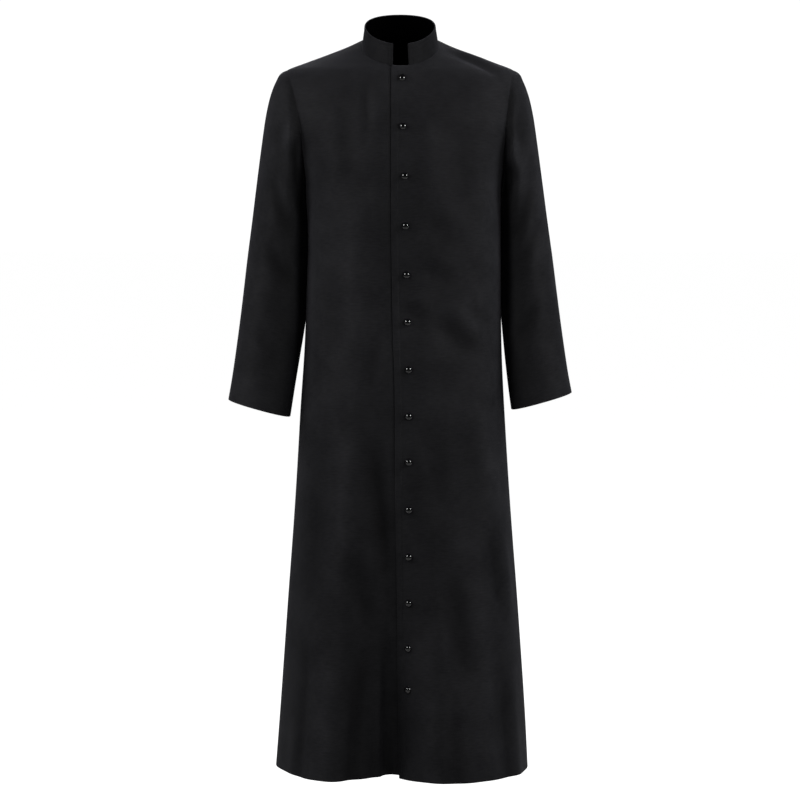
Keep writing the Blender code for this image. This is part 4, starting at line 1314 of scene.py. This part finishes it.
def front_edge_stitches():
    """The line down the upper front, read off the finished cloth."""
    height = np.linspace(HEM_Z + 0.002, FRONT_STITCH_TOP, 260)
    angle = angle_at_x(edge_x(height) + TOPSTITCH, height)
    base = body_point(angle, height)
    normal = body_normal(angle, height)
    return base, normal


thread = thread_black()
laid_stitches, stitch_sizes, stitch_thread = stitch_tree()


def stitch_line(name, points, normals):
    """One run of stitches on the cloth nearest to its line."""
    edges = [(index, index + 1) for index in range(len(points) - 1)]
    line = sewn_points(name, points, normals, edges)
    values = dict(stitch_sizes)
    values[stitch_thread] = thread
    return sew_in(run_tree(line, laid_stitches, values))


def on_cloth(piece, points, normals, sink):
    """Drop a line of points onto a finished piece, a little sunk into it."""
    found = []
    for point, normal in zip(points, normals):
        origin = Vector(point) + 0.02 * Vector(normal)
        hit, place, _, _ = piece.ray_cast(origin, -Vector(normal), distance=0.05)
        if hit:
            found.append(tuple(place - sink * Vector(normal)))
    return np.array(found)


edge_points, edge_normals = front_edge_stitches()
stitched = on_cloth(upper_front, edge_points, edge_normals, STITCH_SINK)
stitch_line("front_edge_stitching", stitched, edge_normals[:len(stitched)])


def collar_stitches():
    """The line round the collar: up one end, along under the rim and down the other."""
    rows, columns = collar_base.shape[:2]
    along = run_lengths(collar_base, 1)
    up = run_lengths(collar_base, 0)
    top = np.array([np.interp(up[-1, column] - COLLAR_STITCH, up[:, column], np.arange(rows))
                    for column in range(columns)])
    first = np.interp(COLLAR_STITCH, along[-1], np.arange(columns))
    last = np.interp(along[-1, -1] - COLLAR_STITCH, along[-1], np.arange(columns))
    rise = np.linspace(1.0, top[int(first)], 14)
    across = np.linspace(first, last, 230)
    row = np.concatenate((rise, np.interp(across, np.arange(columns), top)[1:-1], rise[::-1]))
    column = np.concatenate((np.full(14, first), across[1:-1], np.full(14, last)))

    def read(grid):
        low, left = np.floor(row).astype(int), np.floor(column).astype(int)
        up_by, right_by = (row - low)[:, None], (column - left)[:, None]
        return ((1 - up_by) * (1 - right_by) * grid[low, left]
                + (1 - up_by) * right_by * grid[low, left + 1]
                + up_by * (1 - right_by) * grid[low + 1, left]
                + up_by * right_by * grid[low + 1, left + 1])

    return read(collar_base), unit(read(collar_normals))


band_points, band_normals = collar_stitches()
stitched = on_cloth(collar_piece, band_points, band_normals, STITCH_SINK)
stitch_line("collar_stitching", stitched, band_normals[:len(stitched)])


# ==== The studio ==================================================================
# A pale floor below the hem and a white room. Two soft boxes stand half to the front,
# a broad panel on each side, another behind, and a last one hangs over the shoulder.
FLOOR_Z = HEM_Z - 0.12
FLOOR_GLOW = 0.98        # the floor is lit through from below, as a light table is
CAMERA_PLACE = (0.0, -5.85, -0.19)
CAMERA_TILT = 5.0


def studio_floor():
    bpy.ops.mesh.primitive_plane_add(size=60.0, location=(0, 0, FLOOR_Z))
    floor = bpy.context.object
    floor.name = "studio_floor"
    material, nodes, links, shader = new_material("pale_floor")
    shader.inputs["Base Color"].default_value = (0.16, 0.16, 0.16, 1.0)
    shader.inputs["Roughness"].default_value = 0.9
    shader.inputs["Emission Color"].default_value = (1.0, 1.0, 1.0, 1.0)
    path = nodes.new("ShaderNodeLightPath")
    glow = nodes.new("ShaderNodeMath")
    glow.operation = "MULTIPLY"
    glow.inputs[1].default_value = FLOOR_GLOW
    links.new(path.outputs["Is Camera Ray"], glow.inputs[0])
    links.new(glow.outputs["Value"], shader.inputs["Emission Strength"])
    floor.data.materials.append(material)


def soft_light(name, place, aim, width, height, power, mirrored=True):
    """A rectangular soft box turned to face its aim. Polished things may mirror it."""
    data = bpy.data.lights.new(name, "AREA")
    data.shape = "RECTANGLE"
    data.size = width
    data.size_y = height
    data.energy = power
    light = bpy.data.objects.new(name, data)
    light.location = place
    light.visible_glossy = mirrored
    light.visible_camera = False
    light.rotation_euler = (Vector(aim) - Vector(place)).to_track_quat("-Z", "Y").to_euler()
    bpy.context.scene.collection.objects.link(light)


def studio_room():
    """White to the eye, dimmer as a light, so that black cloth keeps its modelling."""
    world = bpy.data.worlds.new("studio_room")
    bpy.context.scene.world = world
    world.use_nodes = True
    nodes = world.node_tree.nodes
    links = world.node_tree.links
    room = nodes["Background"]
    room.inputs["Color"].default_value = (1.0, 1.0, 1.0, 1.0)
    bounced = nodes.new("ShaderNodeLightPath")
    dimmer = nodes.new("ShaderNodeMath")
    dimmer.operation = "MULTIPLY_ADD"
    dimmer.inputs[1].default_value = -0.09
    dimmer.inputs[2].default_value = 0.11
    links.new(bounced.outputs["Is Glossy Ray"], dimmer.inputs[0])
    links.new(dimmer.outputs["Value"], room.inputs["Strength"])
    seen = nodes.new("ShaderNodeBackground")
    seen.inputs["Color"].default_value = (1.0, 1.0, 1.0, 1.0)
    seen.inputs["Strength"].default_value = 1.05
    path = nodes.new("ShaderNodeLightPath")
    mix = nodes.new("ShaderNodeMixShader")
    links.new(path.outputs["Is Camera Ray"], mix.inputs["Fac"])
    links.new(room.outputs["Background"], mix.inputs[1])
    links.new(seen.outputs["Background"], mix.inputs[2])
    links.new(mix.outputs["Shader"], nodes["World Output"].inputs["Surface"])


def studio_camera():
    data = bpy.data.cameras.new("camera")
    data.lens = 135.0
    data.sensor_width = 36.0
    camera = bpy.data.objects.new("camera", data)
    camera.location = CAMERA_PLACE
    camera.rotation_euler = (math.radians(90.0 - CAMERA_TILT), 0.0, 0.0)
    bpy.context.scene.collection.objects.link(camera)
    bpy.context.scene.camera = camera


studio_floor()
studio_room()
soft_light("soft_box_left", (-2.2, -2.2, 0.70), (0, 0, 1.00), 0.80, 0.95, 40)
soft_light("soft_box_right", (2.2, -2.2, 0.70), (0, 0, 1.00), 0.80, 0.95, 43)
soft_light("side_panel_left", (-2.6, -0.45, 0.8), (0, 0, 0.2), 1.3, 1.6, 114, False)
soft_light("side_panel_right", (2.6, -0.45, 0.8), (0, 0, 0.2), 1.3, 1.6, 124, False)
soft_light("shoulder_light", (0.9, 0.9, 2.2), (0.15, 0, -0.05), 1.8, 1.6, 23, False)
soft_light("back_panel", (0.0, 3.6, 1.5), (0, 0, -0.5), 2.4, 1.2, 95, False)
studio_camera()
bpy.context.scene.view_settings.view_transform = "Standard"
